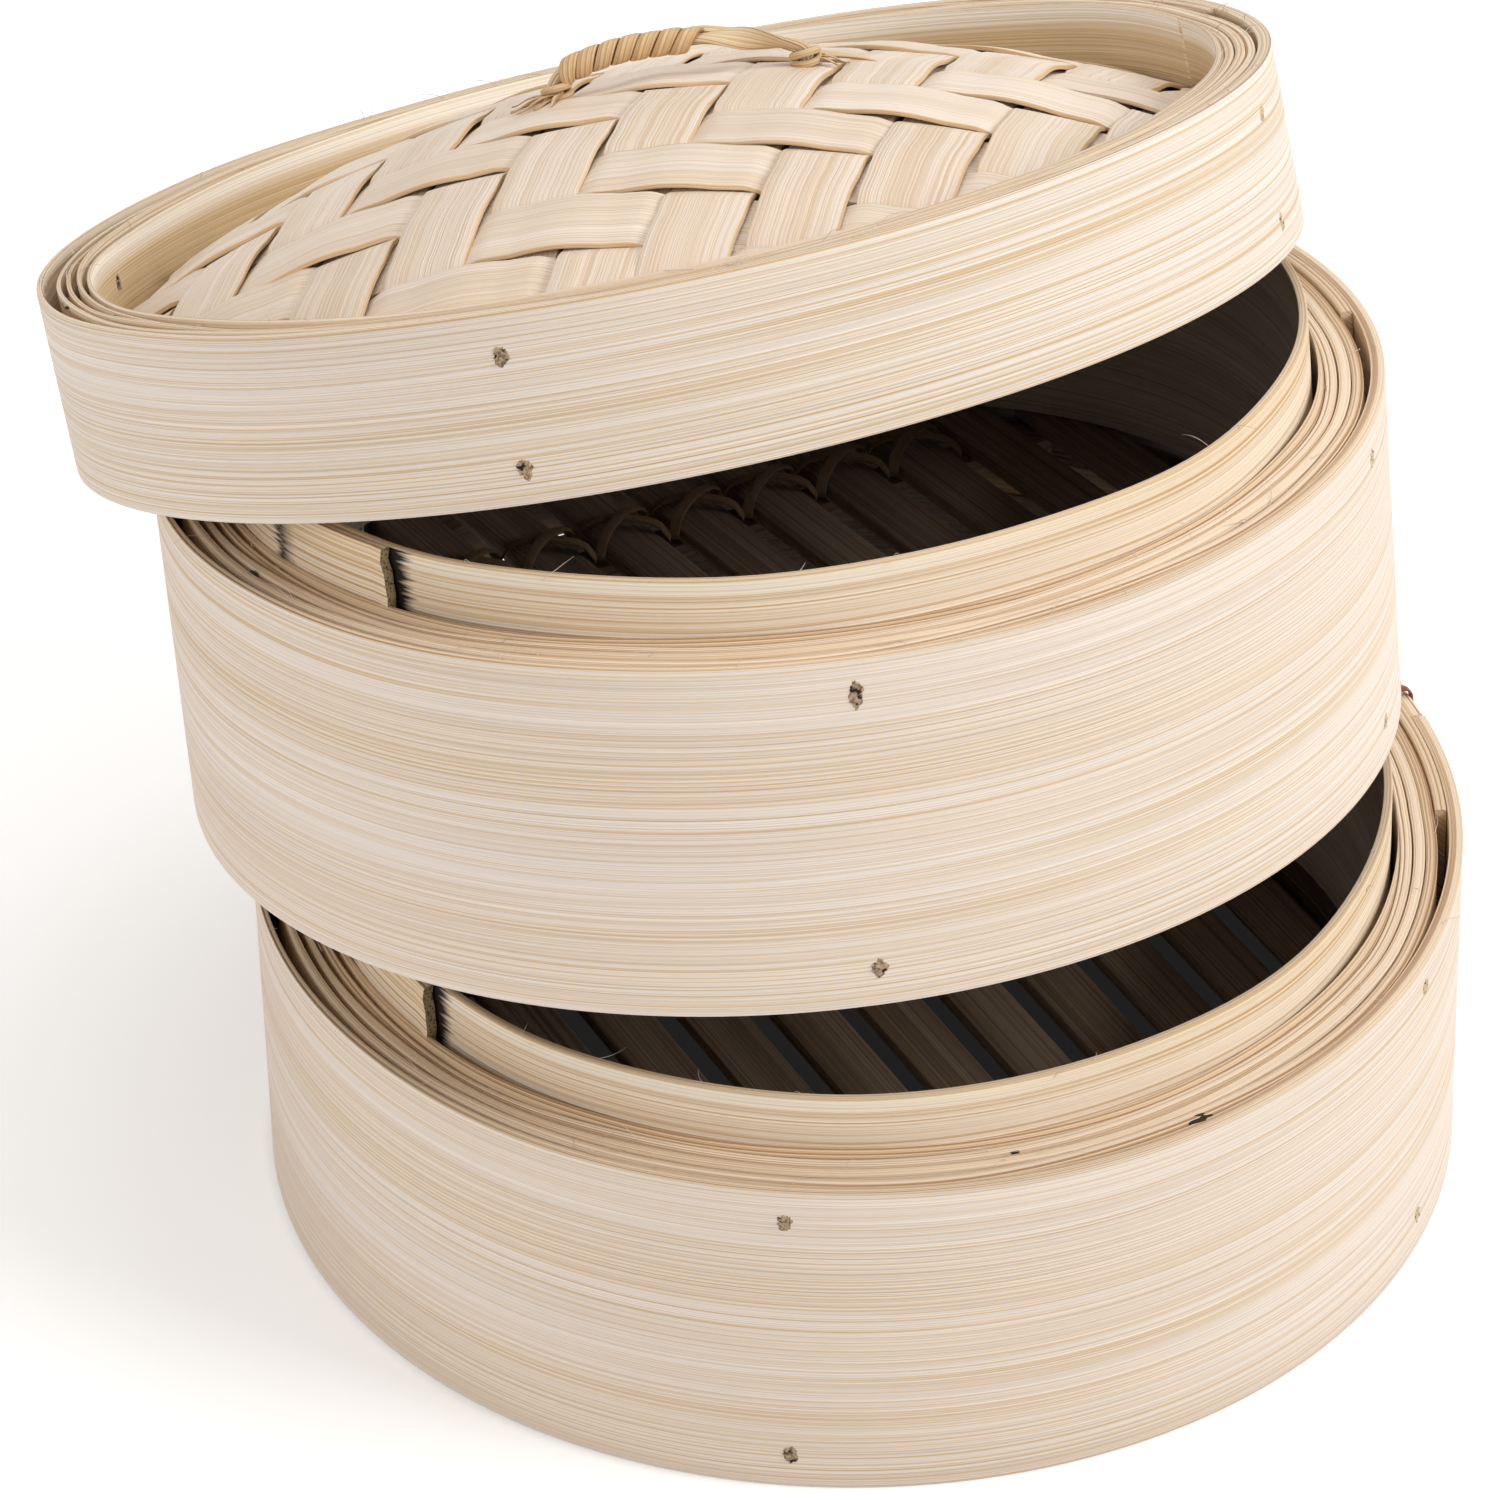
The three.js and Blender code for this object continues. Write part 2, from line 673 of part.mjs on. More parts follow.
function coreGeometry(curve) {
  const sides = 8;
  const steps = 40;
  const { wrapEnd, splintEnd } = handleSpans(curve);
  const rings = [];
  for (let step = 0; step <= steps; step += 1) {
    const share = step / steps;
    const frame = handleFrame(curve, share);
    const alongSplint = THREE.MathUtils.clamp((share - wrapEnd) / (splintEnd - wrapEnd), 0, 1);
    const swell = Math.sin(Math.PI * alongSplint);
    const twist = splintTwist * degrees * THREE.MathUtils.smoothstep(share, wrapEnd, splintEnd);
    const wide = THREE.MathUtils.lerp(coreRadius, splintHalfWidth, swell);
    const thin = THREE.MathUtils.lerp(coreRadius, splintHalfThickness, swell);
    const ring = [];
    for (let side = 0; side < sides; side += 1) {
      const angle = fullTurn * side / sides;
      const across = wide * Math.cos(angle) * Math.cos(twist) - thin * Math.sin(angle) * Math.sin(twist);
      const over = wide * Math.cos(angle) * Math.sin(twist) + thin * Math.sin(angle) * Math.cos(twist);
      ring.push(frame.point.clone().addScaledVector(frame.sideways, across).addScaledVector(frame.upright, over));
    }
    rings.push(ring);
  }
  return loft(rings);
}

// Flat cane wound round the core, as one unbroken band
function wrapGeometry(curve) {
  const stepsPerWrap = 14;
  const steps = wrapTurns * stepsPerWrap;
  const { wrapStart } = handleSpans(curve);
  const innerFace = coreRadius + clearance;
  const outerFace = innerFace + wrapThickness;
  const rings = [];
  for (let step = 0; step <= steps; step += 1) {
    const turn = step / stepsPerWrap;
    const angle = fullTurn * turn;
    const middle = wrapStart + (turn * wrapPitch + wrapBandWidth / 2) / curve.getLength();
    const frame = handleFrame(curve, middle);
    const outward = frame.sideways.clone().multiplyScalar(Math.cos(angle))
      .addScaledVector(frame.upright, Math.sin(angle));
    const corner = (face, side) => frame.point.clone().addScaledVector(outward, face)
      .addScaledVector(frame.tangent, side * wrapBandWidth / 2);
    rings.push([corner(innerFace, 1), corner(outerFace, 1), corner(outerFace, -1), corner(innerFace, -1)]);
  }
  const gaps = [];
  for (let step = 0; step + stepsPerWrap <= steps; step += 1) {
    gaps.push(rings[step][0].distanceTo(rings[step + stepsPerWrap][3]));
    gaps.push(rings[step][1].distanceTo(rings[step + stepsPerWrap][2]));
  }
  console.log(`handle_wrap: least gap to itself ${Math.min(...gaps).toFixed(2)} mm`);
  return loft(rings);
}

// Ring of cane tied round a leg of the handle where it leaves the dome
function knotGeometry(along) {
  const knot = new THREE.TorusGeometry(coreRadius + clearance + knotRadius, knotRadius, 6, 12);
  knot.translate(along, 0, domeMiddle(along, 0) + weaveHalfDepth + knotRadius + 2 * clearance);
  return knot;
}

// Hole for a leg through the weave and the mat
function legHole(along) {
  const radius = coreRadius + 2 * clearance;
  const depth = 4 * (2 * weaveHalfDepth + matThickness);
  const hole = new THREE.CylinderGeometry(radius, radius, depth, 8);
  hole.rotateX(Math.PI / 2);
  hole.translate(along, 0, domeMiddle(along, 0));
  return hole;
}

function buildLid(pegAzimuths, jointAzimuths) {
  const lid = new THREE.Group();
  const drills = [];
  for (const [side, azimuth] of Object.entries(pegAzimuths)) {
    const span = { azimuth, fromRadius: lidInnerRadius, toRadius: lidOuterRadius };
    const high = makePeg({ ...span, height: lidWallHeight - lidPegTop });
    const low = makePeg({ ...span, height: lidPegBottom });
    addPiece(lid, `lid_peg_${side}_high`, high.peg, pegBamboo());
    addPiece(lid, `lid_peg_${side}_low`, low.peg, pegBamboo());
    drills.push(high.drill, low.drill);
  }
  const winding = bentStrip({
    innerRadius: lidInnerRadius,
    thickness: lidStripThickness,
    pitch: lidWindingPitch,
    turns: windingTurns,
    direction: -1,
    startAzimuth: jointAzimuths.winding,
    bottom: 0,
    top: lidWallHeight,
  });
  const outerHoop = jointedHoop({
    innerRadius: lidOuterRadius - outerHoopThickness,
    thickness: outerHoopThickness,
    jointAzimuth: jointAzimuths.outer,
    bottom: 0,
    top: lidWallHeight,
  });
  const matUnderEdge = domeMiddle(domeRadius, 0) - weaveHalfDepth - clearance - matThickness;
  const retainingHoop = jointedHoop({
    innerRadius: domeRadius - retainingHoopThickness,
    thickness: retainingHoopThickness,
    jointAzimuth: jointAzimuths.retaining,
    bottom: matUnderEdge - clearance - retainingHoopHeight,
    top: matUnderEdge - clearance,
  });
  addPiece(lid, 'lid_wall_winding', cutAway(winding, drills), paleBamboo());
  addPiece(lid, 'lid_outer_hoop', cutAway(outerHoop, drills), paleBamboo());
  addPiece(lid, 'lid_retaining_hoop', retainingHoop, innerBamboo());

  const dome = new THREE.Group();
  dome.rotation.z = weaveAzimuth * degrees;
  lid.add(dome);
  const legAngle = (handleAzimuth - weaveAzimuth) * degrees;
  const feet = [handleLeftFoot, handleRightFoot];
  const holes = feet.map((foot) => legHole(foot).rotateZ(legAngle));
  addPiece(dome, 'lid_dome_weave', weaveGeometry(holes), wovenBamboo());
  addPiece(dome, 'lid_dome_mat', matGeometry(holes), innerBamboo());

  const handle = new THREE.Group();
  handle.rotation.z = handleAzimuth * degrees;
  lid.add(handle);
  const curve = handleCurve();
  addPiece(handle, 'lid_handle_core', coreGeometry(curve), paleBamboo());
  addPiece(handle, 'lid_handle_wrap', wrapGeometry(curve), caneHoney());
  addPiece(handle, 'lid_handle_knot_left', knotGeometry(handleLeftFoot), caneHoney());
  addPiece(handle, 'lid_handle_knot_right', knotGeometry(handleRightFoot), caneHoney());
  return lid;
}

const lowerJoints = { collarLap: -139, winding: 4, outer: 24, floorRing: 150 };
const upperJoints = { collarLap: -127, winding: 11, outer: 42, floorRing: 150 };
const lidJoints = { winding: 18, outer: 32, retaining: 60 };
const lowerTier = buildTier('lower', lowerPegAzimuths, lowerJoints);
const upperTier = buildTier('upper', upperPegAzimuths, upperJoints);
const lid = buildLid(lidPegAzimuths, lidJoints);

const tierBands = [tierWallBand, collarBand, floorBand];
standAjar(upperTier, upperLean, tierBands, tierBands, tierWallHeight + tierOuterRadius);
standAjar(lid, lidLean, [lidWallBand], tierBands, tierWallHeight + tierOuterRadius);
upperTier.add(lid);

const steamer = new THREE.Group();
steamer.add(lowerTier, upperTier);
steamer.updateMatrixWorld(true);
const extent = new THREE.Box3().setFromObject(steamer, true);
const footprintMiddle = extent.getCenter(new THREE.Vector3());
steamer.position.set(-footprintMiddle.x, -footprintMiddle.y, -extent.min.z);
steamer.updateMatrixWorld(true);

export default steamer;
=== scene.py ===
# A two-tier bamboo steamer basket with a woven, domed lid, propped ajar on a white studio floor.
import bmesh
import bpy
import json
import math
import random
from mathutils import Matrix, Quaternion, Vector, noise


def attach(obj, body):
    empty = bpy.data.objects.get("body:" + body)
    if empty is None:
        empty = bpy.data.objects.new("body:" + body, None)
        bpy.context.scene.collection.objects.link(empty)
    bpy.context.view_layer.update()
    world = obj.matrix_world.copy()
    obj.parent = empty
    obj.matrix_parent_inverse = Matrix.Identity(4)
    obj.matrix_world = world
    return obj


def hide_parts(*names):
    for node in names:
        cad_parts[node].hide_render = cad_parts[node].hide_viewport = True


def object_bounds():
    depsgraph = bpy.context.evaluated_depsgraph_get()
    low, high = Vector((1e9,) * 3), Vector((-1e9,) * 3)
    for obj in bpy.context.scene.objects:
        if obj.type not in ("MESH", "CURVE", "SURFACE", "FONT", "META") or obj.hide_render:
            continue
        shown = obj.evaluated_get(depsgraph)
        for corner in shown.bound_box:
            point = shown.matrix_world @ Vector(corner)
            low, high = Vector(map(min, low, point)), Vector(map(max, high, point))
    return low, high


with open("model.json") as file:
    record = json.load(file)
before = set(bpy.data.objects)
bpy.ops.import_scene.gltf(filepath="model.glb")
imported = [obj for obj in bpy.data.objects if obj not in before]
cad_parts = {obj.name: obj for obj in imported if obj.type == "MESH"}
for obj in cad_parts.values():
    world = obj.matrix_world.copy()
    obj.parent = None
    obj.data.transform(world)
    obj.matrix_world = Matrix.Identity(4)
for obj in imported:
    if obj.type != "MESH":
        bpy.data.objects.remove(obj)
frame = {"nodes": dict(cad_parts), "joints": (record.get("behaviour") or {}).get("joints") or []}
cad_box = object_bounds()

MM = 0.001
FULL_TURN = 2 * math.pi
UP = Vector((0, 0, 1))
CHANCE = random.Random(12)

# Camera of the photograph
CAMERA_DISTANCE = 1.23775
CAMERA_ELEVATION = 34.294
CAMERA_AIM_HEIGHT = 90 * MM
CAMERA_TURN = (55.0855, 1.2329, 0.1092)
CAMERA_LENS = 182.04

# Hoops: how finely they are bent, how their edges are rounded and how unevenly they lie
HOOP_STEPS_PER_TURN = 180
CLOSED_TURN = 0.9985
STRIP_ROUNDING = 0.24 * MM
RIM_UNEVENNESS = 0.45 * MM
# A wound wall: four layers, how much of its pitch a layer fills, and how unevenly the layers lie
WINDING_LAYERS = 4
WINDING_FILL = 0.9
WINDING_SPREAD = 0.09 * MM
# The share of each turn in which the strip climbs on to the next layer, and how thin its inner end is scarfed
WINDING_CLIMB = 0.07
SCARF_SHARE = 0.1
# How far the top of a tier's winding is drawn in to the collar, growing between these shares of its height
DRAW_IN = 0.95 * MM
DRAWN_HEIGHTS = (0.3, 0.7)
# In front it is drawn right up to the collar: it closes and opens over these angles from the collar's end
DRAWN_CLOSE = (0.09, 0.5)
DRAWN_OPEN = (1.65, 2.15)
COLLAR_CLEARANCE = 0.05 * MM
# Where the layers stand apart, and by what share they are thinner there
SLACK_SIDE = math.radians(180)
SLACK = 0.55
# Width of a round strand's grain for each radian round it
STRAND_GRAIN = 1.5 * MM
# Azimuths in degrees where the winding's ends lie, and where the outer strip's ends meet
WINDING_ENDS = {"lower_basket": 0, "upper_basket": 10, "lid": 20}
OUTER_JOINT = {"lower_basket": 17, "upper_basket": 40, "lid": 30}
FLOOR_JOINT = 150
LID_HOOP_JOINT = 60

# Collar: one strip that laps over itself, its outer end facing right
COLLAR_END = {"lower_basket": -140, "upper_basket": -130}
COLLAR_LAP = 20
COLLAR_TURNS = 1 + COLLAR_LAP / 360
COLLAR_THICKNESS = 1.5 * MM
# Its sawn end is thicker by this share over the first length, and stands off by this lift over the second
COLLAR_END_SWELL = 0.3
COLLAR_SWELL_LENGTH = 3 * MM
COLLAR_END_LIFT = 0.25 * MM
COLLAR_LIFT_LENGTH = 14 * MM
# Painted shade on it, as shares of its length: a painted shadow beside its end, and two dark lines of painted
# shade in a split, with a pale sliver between
LAP_PAINTED_SHADOW = (-0.007, 0.0042)
SPLIT_SHADE_LINES = ((0.9518, 0.9538), (0.9554, 0.9572))

# Floors
SLAT_AZIMUTH = -63
SLATS = 12
SLAT_CROWN = 0.25 * MM
BRACE_OFFSET = 48 * MM
BRACE_WIDTH = 8 * MM
CANE_WIDTH = 2.0 * MM
CANE_THICKNESS = 0.8 * MM
# Gaps between slats, counted from the middle, that the cane crosses, and the shape of each crossing
LASHED_GAPS = range(-4, 4)
LASHING_ARCH = 2.2 * MM
LASHING_DROP = 1.6 * MM
LASHING_OVERLAP = 0.5 * MM

# Woven dome
WEAVE_AZIMUTH = -13.5
WEAVE_PITCH = 15 * MM
WEAVE_STRIP_WIDTH = 13.9 * MM
WEAVE_STRIP_THICKNESS = 0.8 * MM
WEAVE_HALF_DEPTH = 1.2 * MM
WARP_SHIFT = -4.5 * MM
WEFT_SHIFT = 2.5 * MM
MAT_GAP = 0.3 * MM
MAT_THICKNESS = 1 * MM
# Where a strip turns over, as shares of the pitch, and how far it arches over a float
CRIMP_SPAN = (0.3, 0.7)
FLOAT_ARCH = 0.7

# Handle, measured along its own line across the crown
HANDLE_AZIMUTH = -2
HANDLE_LEFT_FOOT = -13 * MM
HANDLE_RIGHT_FOOT = 28 * MM
HANDLE_RISE = 5.6 * MM
HANDLE_SHOULDER = 3.5 * MM
HANDLE_CORE_RADIUS = 1.2 * MM
HANDLE_LEG = 8.5 * MM
SPLINT_HALF_WIDTH = 1.9 * MM
SPLINT_HALF_THICKNESS = 0.5 * MM
SPLINT_TWIST = 160
WRAP_TURNS = 7
WRAP_PITCH = 3.3 * MM
WRAP_WIDTH = 3.2 * MM
WRAP_THICKNESS = 0.7 * MM
TIE_RADIUS = 0.65 * MM
TIE_SPACING = 1.15 * MM
FRAYED_ENDS = {"left": 16, "right": 4}
FRAYED_HEADINGS = {"left": (165, 265), "right": (-60, 60)}

# Pegs: azimuth in degrees and height in millimetres on each wall
PEGS = {
    "lower_basket": [(-97, 53.4), (-97, 6.5), (-24, 53.4), (-24, 6.5)],
    "upper_basket": [(-82, 53.4), (-82, 6.5), (-16, 53.4), (-16, 6.5)],
    "lid": [(-101, 23.4), (-101, 5.7), (-15, 23.4), (-15, 5.7)],
}
PEG_NAMES = ["front_high", "front_low", "right_high", "right_low"]
BACK_PEG_AZIMUTHS = {"lower_basket": (60, 150), "upper_basket": (75, 165), "lid": (85, 172)}
PEG_RADIUS = 1.5 * MM
PEG_DEPTH = 0.6 * MM
PEG_RINGS = 6
PEG_RING_WIDTH = 0.21 * MM
# How far behind its innermost lap a collar's inner face lies where the pegs come through
COLLAR_PEG_DEPTH = 0.8 * MM
PEG_FLATNESS = 0.88
# The longest torn patch: at the upper tier's front high peg
PEG_STRETCH = {"upper_peg_front_high": 1.7}

# Knots that show at the rims: azimuth in degrees, radius in millimetres and size
RIM_KNOTS = {
    "lower_basket": [(-57, 97.2, 1.4), (-75, 92.4, 0.5)],
    "upper_basket": [(-53, 96.2, 0.6), (-147, 95.4, 0.6)],
    "lid": [(-161, 99.5, 0.5), (-151, 96.6, 0.5)],
}
# Dyed stitches over the outer strip, in degrees from its joint
STITCH_OFFSETS = (2.4, 4.4)
STITCH_WIDTH = 1.5 * MM
STITCH_THICKNESS = 0.4 * MM
STITCH_LEG = 7 * MM
STITCH_TAIL = 2 * MM
STITCH_LEAN = 1.2 * MM
FIBRES_PER_RIM = 70
FIBRES_PER_COLLAR = 23
FIBRE_RADIUS = 0.08 * MM

# Studio: a round floor with painted shade under the basket, and soft lamps with place, watts, size and tint
FLOOR_RADIUS = 3.0
UNDER_BASKET = 0.094
FLOOR_START = 0.1
WORLD_LIGHT = 0.36
LAMPS = {
    "key_softbox": ((1.14, -0.42, 0.9), 13.5, 0.7, "#FFFFFF"),
    "fill_softbox": ((-1.0, -0.85, 0.7), 6.3, 0.9, "#FFF8F1"),
    "top_softbox": ((0.1, 0.45, 1.3), 6.5, 0.8, "#FFFFFF"),
}
LAMP_AIM = Vector((0, 0, 0.09))

# Bodies and their places


def node_points(node):
    return [vertex.co.copy() for vertex in frame["nodes"][node].data.vertices]


def limits(points):
    return Vector(map(min, *points)), Vector(map(max, *points))


def find_turns():
    """How each body is turned: every joint's axis is its child's own upright axis."""
    axes = {joint["child"]: Vector(joint["axis"]) for joint in frame["joints"]}
    upper = UP.rotation_difference(axes["upper_basket"])
    lid = upper @ UP.rotation_difference(upper.inverted() @ axes["lid"])
    return {"lower_basket": Quaternion(), "upper_basket": upper, "lid": lid}


def place_of(hoop, turn):
    """A body's own axes: upright axis through the middle of its outer hoop, height 0 at its bottom edge."""
    low, high = limits([turn.inverted() @ point for point in node_points(hoop)])
    bottom = Vector(((low.x + high.x) / 2, (low.y + high.y) / 2, low.z))
    return Matrix.Translation(turn @ bottom) @ turn.to_matrix().to_4x4()


PREFIX = {"lower_basket": "lower", "upper_basket": "upper", "lid": "lid"}
TURNS = find_turns()
PLACES = {body: place_of(prefix + "_outer_hoop", TURNS[body]) for body, prefix in PREFIX.items()}


class Ring:
    """Inner and outer radius and lowest and highest level of a round node, in its body's own axes."""

    def __init__(self, body, part):
        back = PLACES[body].inverted()
        points = [back @ point for point in node_points(PREFIX[body] + part)]
        radii = [point.xy.length for point in points]
        levels = [point.z for point in points]
        self.inner, self.outer = min(radii), max(radii)
        self.bottom, self.top = min(levels), max(levels)
        self.height = self.top - self.bottom


# Materials


def linear(hex_colour):
    """sRGB hex to the linear colour that the shader takes."""
    values = [int(hex_colour[i:i + 2], 16) / 255 for i in (1, 3, 5)]
    return [v / 12.92 if v <= 0.04045 else ((v + 0.055) / 1.055) ** 2.4 for v in values] + [1]


def grey(value):
    return [value, value, value, 1]


def add_node(tree, kind, links=None, **settings):
    """A node with its settings and links; a setting in_N is the value of socket N."""
    node = tree.nodes.new(kind)
    for key, value in settings.items():
        if key.startswith("in_"):
            node.inputs[int(key[3:])].default_value = value
        else:
            setattr(node, key, value)
    for socket, source in (links or {}).items():
        tree.links.new(source, node.inputs[socket])
    return node


class Finish:
    """A material's node tree with its Principled shader."""

    def __init__(self, name, roughness, specular=0.5):
        self.material = bpy.data.materials.new(name)
        self.material.use_nodes = True
        self.tree = self.material.node_tree
        self.shader = self.tree.nodes["Principled BSDF"]
        self.shader.inputs["Roughness"].default_value = roughness
        self.shader.inputs["Specular IOR Level"].default_value = specular

    def add(self, kind, links=None, **settings):
        return add_node(self.tree, kind, links, **settings)

    def sum(self, kind, first, second):
        """Arithmetic on two outputs, or on an output and a number."""
        links = {0: first} if isinstance(second, float) else {0: first, 1: second}
        settings = {"in_1": second} if isinstance(second, float) else {}
        return self.add("ShaderNodeMath", links, operation=kind, **settings).outputs[0]

    def ramp(self, source, *stops):
        node = self.add("ShaderNodeValToRGB", {0: source})
        elements = node.color_ramp.elements
        while len(elements) < len(stops):
            elements.new(0.5)
        for element, (position, colour) in zip(elements, stops):
            element.position = position
            element.color = grey(colour) if isinstance(colour, (int, float)) else colour
        return node.outputs[0]

    def grain(self, along, across, detail=2.0, offset=0.0):
        """Noise drawn out along a strip: grains of these two lengths, in metres, on the strip's own map."""
        place = self.add("ShaderNodeUVMap", uv_map="strip").outputs[0]
        start = (offset, offset * 0.37, 0)
        scale = (1 / along, 1 / across, 1)
        mapped = self.add("ShaderNodeMapping", {0: place}, in_1=start, in_3=scale).outputs[0]
        texture = self.add("ShaderNodeTexNoise", {0: mapped}, noise_dimensions="2D", in_2=1.0, in_3=detail)
        return texture.outputs[0]

    def share(self, axis):
        """How far along (0) or across (1) the strip a point lies, from 0 to 1."""
        share_map = self.add("ShaderNodeUVMap", uv_map="share")
        return self.add("ShaderNodeSeparateXYZ", {0: share_map.outputs[0]}).outputs[axis]

    def blend(self, factor, under, over, mode="MIX"):
        node = self.add("ShaderNodeMix", data_type="RGBA", blend_type=mode)
        for socket, value in ((node.inputs[0], factor), (node.inputs[6], under), (node.inputs[7], over)):
            if isinstance(value, (list, tuple, float)):
                socket.default_value = value
            else:
                self.tree.links.new(value, socket)
        return node.outputs[2]

    def colour(self, output):
        self.tree.links.new(output, self.shader.inputs["Base Color"])

    def bump(self, height, distance, strength=1.0, under=None):
        links = {"Height": height} if under is None else {"Height": height, "Normal": under}
        node = self.add("ShaderNodeBump", links)
        node.inputs["Distance"].default_value = distance
        node.inputs["Strength"].default_value = strength
        self.tree.links.new(node.outputs[0], self.shader.inputs["Normal"])
        return node.outputs[0]


def bamboo(name, base, band, line, roughness=0.55, contrast=0.8, width=1.0, edge=None, marks=None):
    """Scraped bamboo: a pale ground, straight honey lines that gather in places and fine threads.

    Width scales the grain across the strip. An edge is a colour and the share of the width where it starts.
    """
    finish = Finish(name, roughness, 0.35)
    broad = finish.grain(420 * MM, 8 * MM * width, 1)
    colour = finish.blend(finish.ramp(broad, (0.36, 0), (0.64, 1)), linear(base), linear(band))
    lines = finish.grain(340 * MM, 0.42 * MM * width, 0, offset=3.1)
    places = finish.grain(300 * MM, 4 * MM * width, 2, offset=5.3)
    crisp = finish.ramp(lines, (0.52, 0), (0.66, contrast))
    dense = finish.ramp(places, (0.34, 0.5), (0.6, 1))
    colour = finish.blend(finish.sum("MULTIPLY", crisp, dense), colour, linear(line))
    hairlines = finish.grain(200 * MM, 0.3 * MM * width, 0, offset=8.9)
    tint = finish.ramp(hairlines, (0.56, 1), (0.66, [0.87, 0.77, 0.63, 1]))
    colour = finish.blend(contrast, colour, tint, "MULTIPLY")
    threads = finish.grain(90 * MM, 0.24 * MM * width, 1, offset=7.7)
    tone = finish.ramp(finish.grain(1.1, 1.1, 0, offset=2.2), (0.3, [0.95, 0.93, 0.91, 1]), (0.7, 1.02))
    for shade in (finish.ramp(threads, (0.3, 0.88), (0.7, 1.07)), tone):
        colour = finish.blend(1.0, colour, shade, "MULTIPLY")
    if edge:
        edge_colour, edge_from = edge
        from_middle = finish.sum("ABSOLUTE", finish.sum("SUBTRACT", finish.share(1), 0.5), 0.0)
        near_edge = finish.ramp(from_middle, (edge_from / 2, 0), (0.5, 1))
        ragged = finish.sum("MULTIPLY", finish.sum("MULTIPLY", near_edge, lines), 1.7)
        colour = finish.blend(finish.ramp(ragged, (0.0, 0), (0.9, 1)), colour, linear(edge_colour))
    if marks:
        colour = marks(finish, colour)
    finish.colour(colour)
    finish.bump(lines, 0.12 * MM, 0.6, finish.bump(threads, 0.06 * MM, 0.8))
    return finish.material


def painted_lap_shadows(finish, colour):
    """Painted shade on a collar: a splintery painted shadow beside its lapped end, and painted shade in a
    split with a pale sliver.
    """
    wobble = finish.sum("MULTIPLY", finish.sum("SUBTRACT", finish.grain(14 * MM, 0.6 * MM, 3), 0.5), 0.009)
    along = finish.sum("ADD", finish.share(0), wobble)
    lap = (COLLAR_TURNS - 1) / COLLAR_TURNS

    def lines(soft, *spans):
        stops = [((low, 0), (low + soft, 1), (high - soft, 1), (high, 0)) for low, high in spans]
        return finish.ramp(along, *sum(stops, ()))

    # Painted shadow beside the lapped end and painted shade in the split, both near-black #17110D
    beside = lines(0.0006, [lap + side for side in LAP_PAINTED_SHADOW])
    shade = finish.sum("MAXIMUM", beside, lines(0.0004, *SPLIT_SHADE_LINES))
    return finish.blend(shade, colour, linear("#17110D"))


def tan_towards_bottom(finish, colour):
    """Darker and tan in the lower part of an upright strip, paler towards its top."""
    shade = finish.ramp(finish.share(1), (0.86, [0.77, 0.65, 0.46, 1]), (0.94, 1))
    return finish.blend(1.0, colour, shade, "MULTIPLY")


def end_grain(name, base, pore):
    """Cut across the fibres: dark bundle pores about 0.4 mm apart in a grey-brown ground."""
    finish = Finish(name, 0.8, 0.3)
    place = finish.add("ShaderNodeTexCoord").outputs["Object"]
    pores = finish.add("ShaderNodeTexVoronoi", {0: place}, in_2=1 / (0.5 * MM)).outputs[0]
    blotches = finish.add("ShaderNodeTexNoise", {0: place}, in_2=1 / (2.5 * MM), in_3=3.0).outputs[0]
    colour = finish.blend(finish.ramp(pores, (0.25, 1), (0.5, 0)), linear(base), linear(pore))
    finish.colour(finish.blend(1.0, colour, finish.ramp(blotches, (0.3, 0.7), (0.7, 1.1)), "MULTIPLY"))
    finish.bump(pores, 0.15 * MM, 0.8)
    return finish.material


def torn_end(name, core, fibre, crevice):
    """Torn bamboo fibres, with small spots of painted shade for dark crevices here and there."""
    finish = Finish(name, 0.85, 0.25)
    place = finish.add("ShaderNodeTexCoord").outputs["Object"]
    fibres = finish.add("ShaderNodeTexNoise", {0: place}, in_2=1 / (0.5 * MM), in_3=3.0).outputs[0]
    holes = finish.add("ShaderNodeTexNoise", {0: place}, in_2=1 / (1.3 * MM), in_3=4.0).outputs[0]
    colour = finish.blend(finish.ramp(fibres, (0.42, 0), (0.62, 1)), linear(core), linear(fibre))
    # Painted shade: the crevice colour fills the spots where the holes noise is high
    finish.colour(finish.blend(finish.ramp(holes, (0.55, 0), (0.62, 1)), colour, linear(crevice)))
    finish.bump(fibres, 0.2 * MM, 0.9)
    return finish.material


